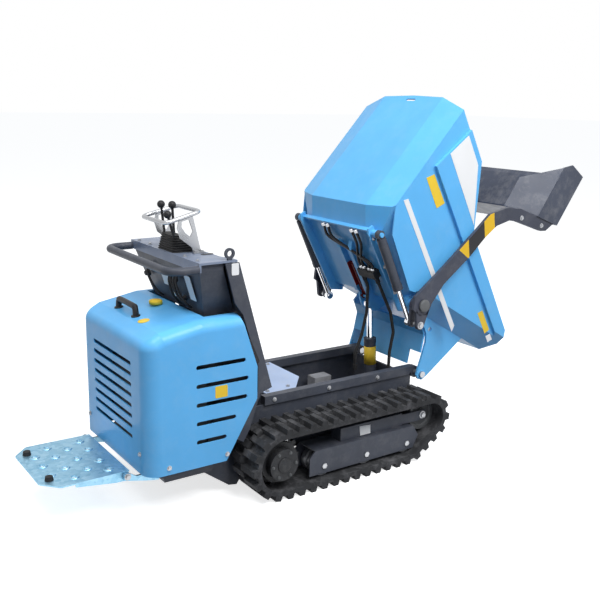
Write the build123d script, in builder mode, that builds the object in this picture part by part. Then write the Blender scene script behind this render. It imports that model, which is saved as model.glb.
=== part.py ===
from build123d import *
from math import asin, atan2, cos, degrees, hypot, pi, radians, sin
import os

os.makedirs("parts", exist_ok=True)

# Tracked self-loading site dumper. Millimetres.
# +X is the tipping direction, +Y the machine's left, +Z up, the ground is z = 0.
# The origin is on the ground, midway between the platform's rear edge and the shovel's cutting edge.

# ---------------------------------------------------------------- pose
tip_angle = 62.0          # skip tipped forward from its travelling position
shovel_pitch = 54.3       # shovel floor above level, nose up, with the skip tipped
fit_gap = 0.3             # faces that nearly touch
run_gap = 0.05            # radial clearance of a pin in its bore

# ---------------------------------------------------------------- undercarriage
track_inner_y = 210.0     # inner edge of each track
track_width = 180.0
belt = 18.0               # rubber belt thickness
lug_height = 20.0
lug_count = 40
sprocket_x = -391.0
sprocket_loop_r = 145.0   # lug tips round the sprocket
idler_x = 362.0
idler_z = 184.0
idler_loop_r = 107.0      # lug tips round the idler
roller_xs = [-183.0, 34.0, 254.0]
roller_z = 84.0
guard_y = 352.0           # inside face of the outer guard plate
guard_plate = 6.0
roller_bore_r = 11.0

# ---------------------------------------------------------------- chassis
rail_outer_y = 210.0
rail_wide = 34.0
rail_top = 366.0
rail_high = 36.0
rail_rear_x = -375.0
rail_front_x = 420.0
well_wall_y = 200.0       # outer face of the well's side walls
well_wall = 6.0
belly_z = 120.0
hinge_x = 419.0           # skip hinge pin
hinge_z = 337.0
hinge_pin_r = 14.0
tip_base_x = 335.0        # tipping cylinder's lower pin
tip_base_z = 230.0

# ---------------------------------------------------------------- skip, in its own frame
# x forward and z up from the hinge pin, as it lies when travelling
skip_half = 320.0         # outside of the lower side walls
band_out = 15.0           # the upper band stands this far out
skip_wall = 5.0
floor_z = 50.0
rear_fold_x = -818.0
rear_fold_z = 89.0
rear_top_x = -1017.0
rear_top_z = 652.0
rear_panel_half = 190.0   # flat middle panel of the rear wall
corner_set = 33.0         # the corner panels come forward by this much at the side walls
slope_foot_x = -361.0     # front slope starts here
lip_x = 115.0
lip_low_z = 344.0
lip_high_z = 411.0
rim_low_z = 455.0
rim_high_z = 610.0
bracket_y = 238.0         # inner face of the subframe's side plates
bracket_plate = 10.0
arm_pivot_x = -362.0
arm_pivot_z = 66.0
lift_pin_x = -720.0
lift_pin_z = 38.0
lift_y = 288.0            # plane of the lift cylinders
tip_eye_x = -300.0        # tipping cylinder's upper pin
tip_eye_z = 40.0
pin_r = 10.0
prop_x = -340.0           # safety prop's pin
prop_z = 38.0
prop_long = 190.0

# ---------------------------------------------------------------- arms and shovel, in their own frame
# x forward and z up from the arm pivot, with the shovel floor level
arm_gap = 10.0            # between the skip's upper band and each arm
arm_y = skip_half + band_out + arm_gap
arm_plate = 15.0
lever_x = -75.0           # lift cylinder's pin on the arm
lever_z = -40.0
lever_end_r = 18.0
hub_r = 40.0
shovel_past_arm = 5.0
shovel_half = arm_y + arm_plate + shovel_past_arm
shovel_heel_x = 702.0
shovel_floor_z = -479.0
shovel_floor = 262.0      # heel to cutting edge
shovel_plate = 6.0

# ---------------------------------------------------------------- hood, console and platform
hood_half = 305.0
hood_rear_x = -925.0
hood_wall = 5.0
hood_hinge_x = -905.0     # the hood turns about its lower rear edge
hood_hinge_z = 205.0
hood_lug_y = 150.0
hood_slots = 8
slot_pitch = 40.0
tower_half = 295.0
console_z = 950.0
console_half = 295.0
console_rear_x = -707.0
platform_rear_x = -1263.7
platform_pivot_x = -963.0
platform_pivot_z = 173.0
platform_half = 200.0
platform_plate = 5.0

# ---------------------------------------------------------------- cylinders
# barrel and rod from the pin to the open end; the eyes' outer radius and half width
tip_size = {"barrel": 228, "barrel_r": 27, "rod": 228, "rod_r": 14, "eye": 22, "eye_half": 14}
lift_size = {"barrel": 262, "barrel_r": 20, "rod": 250, "rod_r": 10, "eye": 18, "eye_half": 10.2}

# ---------------------------------------------------------------- frames of the tipped bodies
tip = radians(tip_angle)
pitch = radians(shovel_pitch)


def skip_to_machine(x, z):
    """A point of the skip's own frame, in the machine's x and z."""
    return (hinge_x + x * cos(tip) + z * sin(tip), hinge_z - x * sin(tip) + z * cos(tip))


arm_x, arm_z = skip_to_machine(arm_pivot_x, arm_pivot_z)


def arm_to_machine(x, z):
    """A point of the arms' own frame, in the machine's x and z."""
    return (arm_x + x * cos(pitch) - z * sin(pitch), arm_z + x * sin(pitch) + z * cos(pitch))


def side_plane(y):
    """Sketch plane of the machine's side view, x forward and z up; it extrudes towards -Y."""
    return Plane(origin=(0, y, 0), x_dir=(1, 0, 0), z_dir=(0, -1, 0))


skip_place = Plane(
    origin=(hinge_x, 0, hinge_z), x_dir=(cos(tip), 0, -sin(tip)), z_dir=(sin(tip), 0, cos(tip))
).location
arm_place = Plane(
    origin=(arm_x, 0, arm_z), x_dir=(cos(pitch), 0, sin(pitch)), z_dir=(-sin(pitch), 0, cos(pitch))
).location


def save(part, name):
    part.label = name
    export_step(part, f"parts/{name}.step")


sides = {"right": -1, "left": 1}

# ================================================================ undercarriage
sprocket_z = sprocket_loop_r
front_roller_x = roller_xs[-1]


class TrackLoop:
    """Closed track line round the sprocket, the front roller and the idler, at a depth below the lug tips."""

    def __init__(self, depth):
        self.wheels = [
            (sprocket_x, sprocket_z, sprocket_loop_r - depth),
            (front_roller_x, roller_z, roller_z - depth),
            (idler_x, idler_z, idler_loop_r - depth),
        ]
        self.runs = []
        for i, (x0, z0, r0) in enumerate(self.wheels):
            x1, z1, r1 = self.wheels[(i + 1) % 3]
            span = hypot(x1 - x0, z1 - z0)
            # outward normal of the straight run, which lies to the right of its direction
            side = atan2(z1 - z0, x1 - x0) - pi / 2 + asin((r0 - r1) / span)
            self.runs.append((side, (x0 + r0 * cos(side), z0 + r0 * sin(side)),
                              (x1 + r1 * cos(side), z1 + r1 * sin(side))))

    def pieces(self):
        """Runs and arcs in turn, anticlockwise, each with its length."""
        out = []
        for i, (side, start, end) in enumerate(self.runs):
            nxt = self.runs[(i + 1) % 3][0]
            turn = (nxt - side) % (2 * pi)
            x, z, r = self.wheels[(i + 1) % 3]
            out.append(("run", start, end, hypot(end[0] - start[0], end[1] - start[1])))
            out.append(("arc", (x, z, r, side), turn, r * turn))
        return out

    def length(self):
        return sum(piece[3] for piece in self.pieces())

    def point(self, s, out=0.0):
        """Point at the distance s along the loop, moved outwards by out."""
        s = s % self.length()
        for kind, a, b, size in self.pieces():
            if s <= size:
                if kind == "run":
                    dx, dz = (b[0] - a[0]) / size, (b[1] - a[1]) / size
                    return (a[0] + dx * s + dz * out, a[1] + dz * s - dx * out)
                x, z, r, start = a
                angle = start + s / r
                return (x + (r + out) * cos(angle), z + (r + out) * sin(angle))
            s -= size
        return self.point(0.0, out)

    def wire(self):
        """The loop as lines and arcs in the current BuildLine."""
        for kind, a, b, size in self.pieces():
            if kind == "run":
                Line(a, b)
            else:
                x, z, r, start = a
                CenterArc((x, z), r, degrees(start), degrees(b))


belt_outer = TrackLoop(lug_height)
belt_inner = TrackLoop(lug_height + belt)
lug_pitch = belt_outer.length() / lug_count
# two rows of lugs: from y, to y (from the track's inner edge), and shift along the loop in pitches
lug_rows = [(18.0, 98.0, 0.0), (84.0, track_width, 0.5)]
lug_foot = 0.30           # half length of a lug at the belt, in pitches
lug_tip = 0.20

for name, sign in sides.items():
    with BuildPart() as track:
        with BuildSketch(side_plane(sign * track_inner_y)):
            with BuildLine():
                belt_outer.wire()
            make_face()
            with BuildLine():
                belt_inner.wire()
            make_face(mode=Mode.SUBTRACT)
        extrude(amount=-sign * track_width)
        for row_from, row_to, shift in lug_rows:
            with BuildSketch(side_plane(sign * (track_inner_y + row_from))):
                for i in range(lug_count):
                    s = (i + shift) * lug_pitch
                    with BuildLine():
                        Polyline(
                            belt_outer.point(s - lug_foot * lug_pitch, -2),
                            belt_outer.point(s + lug_foot * lug_pitch, -2),
                            belt_outer.point(s + lug_tip * lug_pitch, lug_height),
                            belt_outer.point(s - lug_tip * lug_pitch, lug_height),
                            close=True,
                        )
                    make_face()
            extrude(amount=-sign * (row_to - row_from))
    save(track.part, f"track_{name}")

inner_z = lug_height + belt
roller_r = roller_z - inner_z - fit_gap
idler_r = idler_loop_r - inner_z - fit_gap
frame_inner_y = 248.0     # outer face of the track frame's inner plate
beam_low = 150.0
beam_high = 212.0
beam_half_y = 32.0
track_mid_y = track_inner_y + track_width / 2

for name, sign in sides.items():
    # channel over the rollers, tensioner beam with the idler fork, and two carrier tubes to the chassis
    with BuildPart() as track_frame:
        with BuildSketch(side_plane(sign * guard_y)):
            with BuildLine():
                Polyline((-255, 52), (-255, 128), (-228, 156), (288, 156), (318, 110), (290, 56), close=True)
            make_face()
            with Locations(*[(x, roller_z) for x in roller_xs]):
                Circle(roller_bore_r, mode=Mode.SUBTRACT)
        extrude(amount=-sign * guard_plate)
        mirror_y = sign * (frame_inner_y - guard_plate)
        with BuildSketch(side_plane(mirror_y)):
            with BuildLine():
                Polyline((-255, 52), (-255, 128), (-228, 156), (288, 156), (318, 110), (290, 56), close=True)
            make_face()
            with Locations(*[(x, roller_z) for x in roller_xs]):
                Circle(roller_bore_r, mode=Mode.SUBTRACT)
        extrude(amount=-sign * guard_plate)
        with BuildSketch(side_plane(sign * frame_inner_y)):
            with Locations((30, 153)):
                Rectangle(516, 6)
        extrude(amount=-sign * (guard_y - frame_inner_y))
        with BuildSketch(side_plane(sign * (track_mid_y - beam_half_y))):
            with Locations((80, (156 + beam_high) / 2)):
                Rectangle(330, beam_high - 156)
        extrude(amount=-sign * 2 * beam_half_y)
        for fork_y in (track_mid_y - beam_half_y, track_mid_y + beam_half_y - 8):
            with BuildSketch(side_plane(sign * fork_y)):
                with Locations((300, idler_z)):
                    Rectangle(150, 44)
                with Locations((idler_x, idler_z)):
                    Circle(22)
                    Circle(pin_r, mode=Mode.SUBTRACT)
            extrude(amount=-sign * 8)
        for x in (-120, 190):
            with BuildSketch(side_plane(sign * well_wall_y)):
                with Locations((x, 128)):
                    Circle(22)
            extrude(amount=-sign * (frame_inner_y - guard_plate - well_wall_y))
    save(track_frame.part, f"track_frame_{name}")

    # three double-flanged rollers with their axles
    with BuildPart() as rollers:
        roller_half = (guard_y - frame_inner_y) / 2
        for x in roller_xs:
            with BuildSketch(Plane(origin=(x, sign * track_mid_y, roller_z), x_dir=(0, 1, 0), z_dir=(1, 0, 0))):
                with BuildLine():
                    Polyline(
                        (-roller_half, 0), (-roller_half, 20), (-44, 20), (-44, roller_r), (-20, roller_r),
                        (-16, roller_r - 9), (16, roller_r - 9), (20, roller_r), (44, roller_r), (44, 20),
                        (roller_half, 20), (roller_half, 0), close=True,
                    )
                make_face()
            revolve(axis=Axis((x, 0, roller_z), (0, 1, 0)))
    save(rollers.part, f"bottom_rollers_{name}")

    with BuildPart() as idler:
        with BuildSketch(Plane(origin=(idler_x, sign * track_mid_y, idler_z), x_dir=(0, 1, 0), z_dir=(1, 0, 0))):
            with BuildLine():
                Polyline(
                    (-beam_half_y, 0), (-beam_half_y, pin_r - run_gap), (-beam_half_y + 8, pin_r - run_gap),
                    (-beam_half_y + 8, 26), (-16, 26), (-16, 50), (-22, 54), (-22, idler_r), (22, idler_r),
                    (22, 54), (16, 50), (16, 26), (beam_half_y - 8, 26), (beam_half_y - 8, pin_r - run_gap),
                    (beam_half_y, pin_r - run_gap), (beam_half_y, 0), close=True,
                )
            make_face()
        revolve(axis=Axis((idler_x, 0, idler_z), (0, 1, 0)))
    save(idler.part, f"idler_{name}")

    # toothed ring on the drive motor's round housing
    sprocket_r = sprocket_loop_r - inner_z - fit_gap
    with BuildPart() as sprocket:
        with BuildSketch(side_plane(sign * (track_mid_y - 18))):
            with Locations((sprocket_x, sprocket_z)):
                Circle(sprocket_r - 14)
                with PolarLocations(0, 11):
                    with Locations((sprocket_r - 14, 0)):
                        RectangleRounded(28, 20, 6)
        extrude(amount=-sign * 36)
        with BuildSketch(side_plane(sign * well_wall_y)):
            with Locations((sprocket_x, sprocket_z)):
                Circle(74)
        extrude(amount=-sign * (track_mid_y - 18 - well_wall_y))
        with BuildSketch(side_plane(sign * (track_mid_y + 18))):
            with Locations((sprocket_x, sprocket_z)):
                Circle(82)
        extrude(amount=-sign * 30)
        with BuildSketch(side_plane(sign * (track_mid_y + 48))):
            with Locations((sprocket_x, sprocket_z)):
                Circle(64)
        extrude(amount=-sign * 34)
    save(sprocket.part, f"sprocket_{name}")

# ================================================================ chassis
with BuildPart() as chassis_frame:
    for sign in (-1, 1):
        # top rail, its slanted front end carrying the skip's hinge pin
        with BuildSketch(side_plane(sign * rail_outer_y)):
            with BuildLine():
                Polyline(
                    (rail_rear_x, rail_top), (rail_front_x - 8, rail_top), (rail_front_x, rail_top - 6),
                    (rail_front_x - 38, rail_top - rail_high), (rail_rear_x, rail_top - rail_high), close=True,
                )
            make_face()
            with Locations((hinge_x, hinge_z)):
                Circle(26)
        extrude(amount=sign * rail_wide)
        # side wall of the well, and the sloping foot behind the drive sprocket
        with BuildSketch(side_plane(sign * well_wall_y)):
            with BuildLine():
                Polyline(
                    (-619, 131), (-642, 104), (-535, 26), (-499, 20), (-486, 38), (-486, belly_z), (380, belly_z),
                    (400, 160), (400, rail_top - rail_high), (-600, rail_top - rail_high), (-640, 180), close=True,
                )
            make_face()
        extrude(amount=sign * well_wall)
    wall_in = well_wall_y - well_wall
    with BuildSketch(Plane.XY.offset(belly_z)):
        with Locations(((380 - 486) / 2, 0)):
            Rectangle(380 + 486, 2 * wall_in)
    extrude(amount=6)
    # front cross piece
    with BuildSketch(side_plane(wall_in)):
        with Locations((394, 226)):
            Rectangle(12, 200)
    extrude(amount=2 * wall_in)
    # well's rear wall under the tower
    with BuildSketch(side_plane(wall_in)):
        with Locations((-489, 228)):
            Rectangle(6, 205)
    extrude(amount=2 * wall_in)
    # engine deck: a pan with a flat flange that the hood closes on
    with BuildSketch(Plane.XY.offset(131)):
        with Locations((-737, 0)):
            Rectangle(194, 500)
    extrude(amount=49, taper=-18)
    with BuildSketch(Plane.XY.offset(174)):
        with Locations((-735, 0)):
            Rectangle(270, 590)
    extrude(amount=6)
    # hinge lugs and pins for the hood, on the deck's rear edge
    for sign in (-1, 1):
        with BuildSketch(side_plane(sign * hood_lug_y)):
            with BuildLine():
                Polyline((hood_hinge_x, hood_hinge_z + 8), (hood_hinge_x + 12, hood_hinge_z + 6), (-845, 180),
                         (-845, 174), (-872, 174), (hood_hinge_x - 6, hood_hinge_z - 6), close=True)
            make_face()
            with Locations((hood_hinge_x, hood_hinge_z)):
                Circle(8)
        extrude(amount=-sign * 6)
        with BuildSketch(side_plane(sign * hood_lug_y)):
            with Locations((hood_hinge_x, hood_hinge_z)):
                Circle(5)
        extrude(amount=-sign * 28)
    # tipping cylinder's lower lugs and their cross beam
    for y in (34, -22):
        with BuildSketch(side_plane(y)):
            with BuildLine():
                Polyline((tip_base_x - 45, belly_z + 6), (tip_base_x + 45, belly_z + 6),
                         (tip_base_x + 22, tip_base_z), (tip_base_x - 22, tip_base_z), close=True)
            make_face()
            with Locations((tip_base_x, tip_base_z)):
                Circle(22)
        extrude(amount=12)
    with BuildSketch(side_plane(40)):
        with Locations((tip_base_x, tip_base_z)):
            Circle(pin_r)
    extrude(amount=80)
    # bores for the skip's hinge pins
    for sign in (-1, 1):
        with BuildSketch(side_plane(sign * (rail_outer_y + 1))):
            with Locations((hinge_x, hinge_z)):
                Circle(hinge_pin_r)
        extrude(amount=sign * (rail_wide + 2), mode=Mode.SUBTRACT)
save(chassis_frame.part, "chassis_frame")

with BuildPart() as hinge_pins:
    for sign in (-1, 1):
        with BuildSketch(side_plane(sign * (rail_outer_y - rail_wide - 6))):
            with Locations((hinge_x, hinge_z)):
                Circle(hinge_pin_r)
        extrude(amount=-sign * (bracket_y + bracket_plate + 12 - rail_outer_y + rail_wide + 6))
save(hinge_pins.part, "hinge_pins")

with BuildPart() as well_cover:
    with BuildSketch(Plane.XY.offset(rail_top - 8)):
        with BuildLine():
            Polyline((-345, -174), (-205, -174), (-110, -60), (-110, 174), (-345, 174), close=True)
        make_face()
    extrude(amount=5)
    for y in (-172, rail_outer_y - rail_wide):
        with BuildSketch(side_plane(y)):
            with Locations((-280, rail_top - 20)):
                Rectangle(90, 24)
        extrude(amount=4)
save(well_cover.part, "well_cover")

# hydraulic valve: a block with its spools, standing on the belly plate
with BuildPart() as valve_block:
    with BuildSketch(Plane.XY.offset(belly_z + 6)):
        with Locations((150, -118)):
            Rectangle(150, 70)
    extrude(amount=90)
    for x in (95, 131, 167, 203):
        with BuildSketch(Plane.XY.offset(belly_z + 96)):
            with Locations((x, -118)):
                Circle(13)
        extrude(amount=34)
    with BuildSketch(Plane.XY.offset(belly_z + 6)):
        with Locations((130, 120)):
            Rectangle(90, 60)
    extrude(amount=150)
save(valve_block.part, "valve_block")

with BuildPart() as engine_block:
    with BuildSketch(Plane.XY.offset(180)):
        with Locations((-735, 0)):
            Rectangle(220, 380)
    extrude(amount=340)
save(engine_block.part, "engine_block")

# ================================================================ control tower
# front edge of the tower's side strips
strip_top = (-544, 940)
strip_low = (-398, 438)

with BuildPart() as column_frame:
    for sign in (-1, 1):
        with BuildSketch(side_plane(sign * tower_half)):
            with BuildLine():
                Polyline(
                    strip_top, strip_low, (-452, 421), (-497, 284), (-524, 240), (-560, 262),
                    (-461, 430), (-461, 537), (-527, 741), (-562, 790),
                    (strip_top[0] - 58, strip_top[1]), close=True,
                )
            make_face()
        extrude(amount=sign * 8)
    # sloping bulkhead set back between the strips
    back = 26
    with BuildSketch(side_plane(tower_half - 8)):
        with BuildLine():
            Polyline(
                (strip_top[0] - back, console_z - 8), (strip_low[0] - back, strip_low[1]),
                (-497, 330), (-503, 330), (strip_low[0] - back - 6, strip_low[1]),
                (strip_top[0] - back - 6, console_z - 8), close=True,
            )
        make_face()
    extrude(amount=2 * (tower_half - 8))
    # feet on the rails
    for sign in (-1, 1):
        with BuildSketch(side_plane(sign * (tower_half - 8))):
            with BuildLine():
                Polyline((-405, rail_top), (-380, rail_top + 14), (-452, 421), (-497, 330), (-497, rail_top),
                         close=True)
            make_face()
        extrude(amount=sign * 112)
save(column_frame.part, "column_frame")

with BuildPart() as console_box:
    with BuildSketch(Plane.XY.offset(735)):
        with Locations((-583, 0)):
            Rectangle(126, 420)
    with BuildSketch(Plane.XY.offset(915)):
        with Locations((-650, 0)):
            Rectangle(96, 560)
    loft()
    with BuildSketch(Plane.XY.offset(915)):
        with Locations((-650, 0)):
            Rectangle(96, 560)
    extrude(amount=console_z - 8 - 915)
    with BuildSketch(side_plane(tower_half - 8)):
        with BuildLine():
            Polyline((strip_top[0] - back - 6, console_z - 8), (strip_low[0] - back - 6, strip_low[1]),
                     (-300, strip_low[1]), (-300, console_z - 8), close=True)
        make_face()
    extrude(amount=2 * (tower_half - 8), mode=Mode.SUBTRACT)
save(console_box.part, "console_box")

plate_front = strip_top[0] - back - 5
with BuildPart() as console_top:
    with BuildSketch(Plane.XY.offset(console_z - 8)):
        with BuildLine():
            Polyline(
                (console_rear_x, -console_half), (strip_top[0] - 8, -console_half), (strip_top[0] - 8, -270),
                (plate_front, -205), (plate_front, 205), (strip_top[0] - 8, 270),
                (strip_top[0] - 8, console_half), (console_rear_x, console_half), close=True,
            )
        make_face()
    extrude(amount=8)
    # turned-down edge at the rear
    with BuildSketch(Plane.XY.offset(915)):
        with Locations((console_rear_x + 4, 0)):
            Rectangle(8, 2 * console_half)
    extrude(amount=27)
save(console_top.part, "console_top")

bar_r = 15
bar_z = 926
with BuildPart() as grab_bar:
    with BuildLine() as bar_line:
        FilletPolyline(
            (console_rear_x, -288, bar_z), (-816, -288, bar_z), (-816, 288, bar_z), (console_rear_x, 288, bar_z),
            radius=50,
        )
    with BuildSketch(Plane(origin=(console_rear_x, -288, bar_z), x_dir=(0, 1, 0), z_dir=(-1, 0, 0))):
        Circle(bar_r)
    sweep(path=bar_line.line)
save(grab_bar.part, "grab_bar")

# guard round the levers: a bent bar on two cut-out cheeks
with BuildPart() as lever_guard:
    guard_r = 8
    with BuildLine() as guard_line:
        FilletPolyline(
            (-628, -98, console_z), (-597, -92, 1104), (-742, -104, 1070), (-742, 104, 1070), (-597, 92, 1104),
            (-628, 98, console_z), radius=22,
        )
    with BuildSketch(Plane(origin=(-628, -98, console_z), z_dir=(31, 6, 154))):
        Circle(guard_r)
    sweep(path=guard_line.line)
    for sign in (-1, 1):
        with BuildSketch(side_plane(sign * 100)):
            with BuildLine():
                Polyline((-715, console_z), (-604, console_z), (-600, 990), (-640, 1030), (-715, 1078), (-722, 1010),
                         close=True)
            make_face()
            with Locations((-662, 990)):
                Circle(24, mode=Mode.SUBTRACT)
        extrude(amount=sign * 5)
    with BuildSketch(Plane.XY.offset(console_z - 10)):
        Rectangle(2000, 2000)
    extrude(amount=10, mode=Mode.SUBTRACT)
save(lever_guard.part, "lever_guard")

boot_top = console_z + 34
# three levers: foot x and y, knob x, y and z
levers = [
    {"foot_x": -668, "foot_y": 50, "knob_x": -687, "knob_y": 50, "knob_z": 1119},
    {"foot_x": -655, "foot_y": 0, "knob_x": -665, "knob_y": 0, "knob_z": 1121},
    {"foot_x": -668, "foot_y": -50, "knob_x": -709, "knob_y": -50, "knob_z": 1093},
]
with BuildPart() as control_levers:
    for lever in levers:
        foot = Vector(lever["foot_x"], lever["foot_y"], console_z)
        knob = Vector(lever["knob_x"], lever["knob_y"], lever["knob_z"])
        with BuildSketch(Plane(origin=foot, z_dir=knob - foot)):
            Circle(5)
        extrude(amount=(knob - foot).length)
        with Locations(knob):
            Sphere(15)
    with BuildSketch(Plane.XY.offset(boot_top)):
        Rectangle(3000, 1000)
    extrude(amount=-100, mode=Mode.SUBTRACT)
save(control_levers.part, "control_levers")

with BuildPart() as lever_boots:
    for lever in levers:
        boot_x = lever["foot_x"] + (lever["knob_x"] - lever["foot_x"]) * (boot_top - console_z) / (lever["knob_z"] - console_z)
        with BuildSketch(Plane(origin=(boot_x, lever["foot_y"], 0), x_dir=(1, 0, 0), z_dir=(0, -1, 0))):
            with BuildLine():
                Polyline((0, console_z), (24, console_z), (24, console_z + 8), (17, console_z + 14),
                         (20, console_z + 20), (12, boot_top), (0, boot_top), close=True)
            make_face()
        revolve(axis=Axis((boot_x, lever["foot_y"], 0), (0, 0, 1)))
save(lever_boots.part, "lever_boots")

with BuildPart() as lifting_eye:
    with BuildSketch(side_plane(-282)):
        with BuildLine():
            Polyline((-590, console_z), (-572, console_z), (-572, console_z + 20), (-590, console_z + 20), close=True)
        make_face()
        with Locations((-581, console_z + 24)):
            Circle(20)
            Circle(11, mode=Mode.SUBTRACT)
    extrude(amount=10)
    with BuildSketch(Plane.XY.offset(console_z - 30)):
        Rectangle(3000, 1000)
    extrude(amount=30, mode=Mode.SUBTRACT)
save(lifting_eye.part, "lifting_eye")

# ================================================================ hood

def hood_form(inset):
    """Solid of the hood, drawn in by inset; open faces (front and bottom) are carried past the edge."""
    over = 20 if inset else 0
    with BuildPart() as form:
        with BuildSketch(side_plane(hood_half - inset)):
            with BuildLine():
                Polyline(
                    (hood_rear_x + inset, 185 - over), (-603 + over, 185 - over), (-470 + over, 409 - over),
                    (-470 + over, 537), (-539 + over, 741 - inset), (-700, 741 - inset), (-860, 712 - inset),
                    (hood_rear_x + inset, 675 - inset), close=True,
                )
            make_face()
        extrude(amount=2 * (hood_half - inset))
        upright = [e for e in form.edges().filter_by(Axis.Z) if e.center().X < hood_rear_x + inset + 1]
        fillet(upright, radius=58 - inset)
        rim = [e for e in form.edges() if e.center().Z > 640 and e.center().X < -545]
        rim = [e for e in rim if abs(e.center().Y) > 60 or e.center().X < hood_rear_x + inset + 2]
        fillet(rim, radius=44 - inset)
    return form.part


with BuildPart() as hood_shell:
    add(hood_form(0))
    add(hood_form(hood_wall), mode=Mode.SUBTRACT)
    # rear air slots
    with BuildSketch(Plane(origin=(hood_rear_x - 5, 0, 446), x_dir=(0, 1, 0), z_dir=(1, 0, 0))):
        with GridLocations(1, slot_pitch, 1, hood_slots):
            SlotOverall(356, 17)
    extrude(amount=20, mode=Mode.SUBTRACT)
    # side air slots: right end, height
    for right_end, z in ((-521, 571), (-508, 499), (-514, 427), (-562, 355), (-603, 284)):
        with BuildSketch(side_plane(hood_half + 5)):
            with Locations(((right_end - 728) / 2, z)):
                SlotOverall(right_end + 728, 17)
        extrude(amount=20, mode=Mode.SUBTRACT)
        with BuildSketch(side_plane(-hood_half + 15)):
            with Locations(((right_end - 728) / 2, z)):
                SlotOverall(right_end + 728, 17)
        extrude(amount=20, mode=Mode.SUBTRACT)
    # knuckles on the hinge pins
    for sign in (-1, 1):
        with BuildSketch(side_plane(sign * (hood_lug_y + 6.5))):
            with Locations((hood_hinge_x - 8, hood_hinge_z)):
                Rectangle(16, 18)
            with Locations((hood_hinge_x, hood_hinge_z)):
                Circle(9)
                Circle(5 + run_gap, mode=Mode.SUBTRACT)
        extrude(amount=-sign * 18)
    # relief for the console, cut on the hood's own turning arc
    with BuildSketch(side_plane(245)):
        with Locations((hood_hinge_x, hood_hinge_z)):
            Circle(900)
            Circle(583, mode=Mode.SUBTRACT)
        with Locations((-560, 700)):
            Rectangle(210, 400, mode=Mode.INTERSECT)
    extrude(amount=490, mode=Mode.SUBTRACT)
save(hood_shell.part, "hood_shell")

with BuildPart() as hood_handle:
    with BuildLine() as handle_line:
        FilletPolyline((-868, -150, 712), (-868, -150, 748), (-868, -40, 748), (-868, -40, 712), radius=16)
    with BuildSketch(Plane.XY.offset(712)):
        with Locations((-868, -150)):
            Circle(9)
    sweep(path=handle_line.line)
    add(hood_form(0), mode=Mode.SUBTRACT)
save(hood_handle.part, "hood_handle")

# ================================================================ operator platform
plate_top = 190.0
# raised, pierced buttons on the plate: x, and y on one side
buttons = [(-1010, 60), (-1010, 150), (-1075, 0), (-1075, 105), (-1140, 55), (-1140, 150), (-1205, 0), (-1205, 90)]

with BuildPart() as platform_deck:
    with BuildSketch(Plane.XY.offset(plate_top - platform_plate)):
        with BuildLine() as deck_line:
            Polyline(
                (platform_pivot_x + 13, -platform_half), (-1205, -204), (platform_rear_x, -139),
                (platform_rear_x, 139), (-1205, 204), (platform_pivot_x + 13, platform_half), close=True,
            )
        make_face()
        fillet([v for v in deck_line.vertices() if v.X < -1100], radius=22)
    extrude(amount=platform_plate)
    spots = [(x, y) for x, y in buttons] + [(x, -y) for x, y in buttons if y]
    with BuildSketch(Plane.XY.offset(plate_top)):
        with Locations(*spots):
            Circle(20)
    extrude(amount=3, taper=40)
    with BuildSketch(Plane.XY.offset(plate_top + 3)):
        with Locations(*spots):
            Circle(11)
    extrude(amount=-20, mode=Mode.SUBTRACT)
save(platform_deck.part, "platform_plate")

with BuildPart() as platform_arms:
    for sign in (-1, 1):
        with BuildSketch(side_plane(sign * (platform_half - 1))):
            with BuildLine():
                Polyline((platform_pivot_x + 10, plate_top - platform_plate), (-1150, plate_top - platform_plate),
                         (-1150, 172), (-1000, 152), (platform_pivot_x + 10, 152), close=True)
            make_face()
        extrude(amount=sign * 8)
    with BuildSketch(side_plane(platform_half - 1)):
        with Locations((platform_pivot_x, platform_pivot_z)):
            Circle(14)
    extrude(amount=2 * platform_half - 2)
    with BuildSketch(Plane.XY.offset(plate_top - platform_plate)):
        Rectangle(4000, 1000)
    extrude(amount=40, mode=Mode.SUBTRACT)
    for sign in (-1, 1):
        with BuildSketch(side_plane(sign * platform_half)):
            with Locations((platform_pivot_x, platform_pivot_z)):
                Circle(8 + run_gap)
        extrude(amount=sign * 30, mode=Mode.SUBTRACT)
save(platform_arms.part, "platform_arms")

with BuildPart() as platform_buffers:
    for sign in (-1, 1):
        with BuildSketch(Plane.XY.offset(plate_top)):
            with Locations((-1222, sign * 128)):
                Circle(16)
        extrude(amount=15, taper=10)
save(platform_buffers.part, "platform_buffers")

with BuildPart() as platform_brackets:
    for sign in (-1, 1):
        with BuildSketch(side_plane(sign * (platform_half + 6))):
            with BuildLine():
                Polyline((platform_pivot_x - 14, 160), (platform_pivot_x - 14, 184), (platform_pivot_x + 8, 184),
                         (-930, 168), (-874, 168), (-868, 174), (-840, 174), (-840, 132), (-880, 138), close=True)
            make_face()
        extrude(amount=-sign * 9)
        with BuildSketch(side_plane(sign * (platform_half + 15))):
            with Locations((platform_pivot_x, platform_pivot_z)):
                Circle(8)
        extrude(amount=sign * 40)
    add(chassis_frame.part, mode=Mode.SUBTRACT)
save(platform_brackets.part, "platform_brackets")

# ================================================================ skip
rear_lean = (rear_fold_x - rear_top_x) / (rear_top_z - rear_fold_z)
slope = (325 - floor_z) / (84 - slope_foot_x)
band_y = skip_half + band_out


def beyond(points, inset):
    """Block beyond the plane through three points of the tub, the plane moved inwards by inset."""
    first, second, third = [Vector(*point) for point in points]
    normal = (second - first).cross(third - first).normalized()
    if normal.dot(Vector(-400, 0, 300) - first) > 0:
        normal = normal * -1
    with BuildPart() as block:
        with BuildSketch(Plane(origin=first - normal * inset, z_dir=normal)):
            Rectangle(3000, 3000)
        extrude(amount=400)
    return block.part


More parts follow.
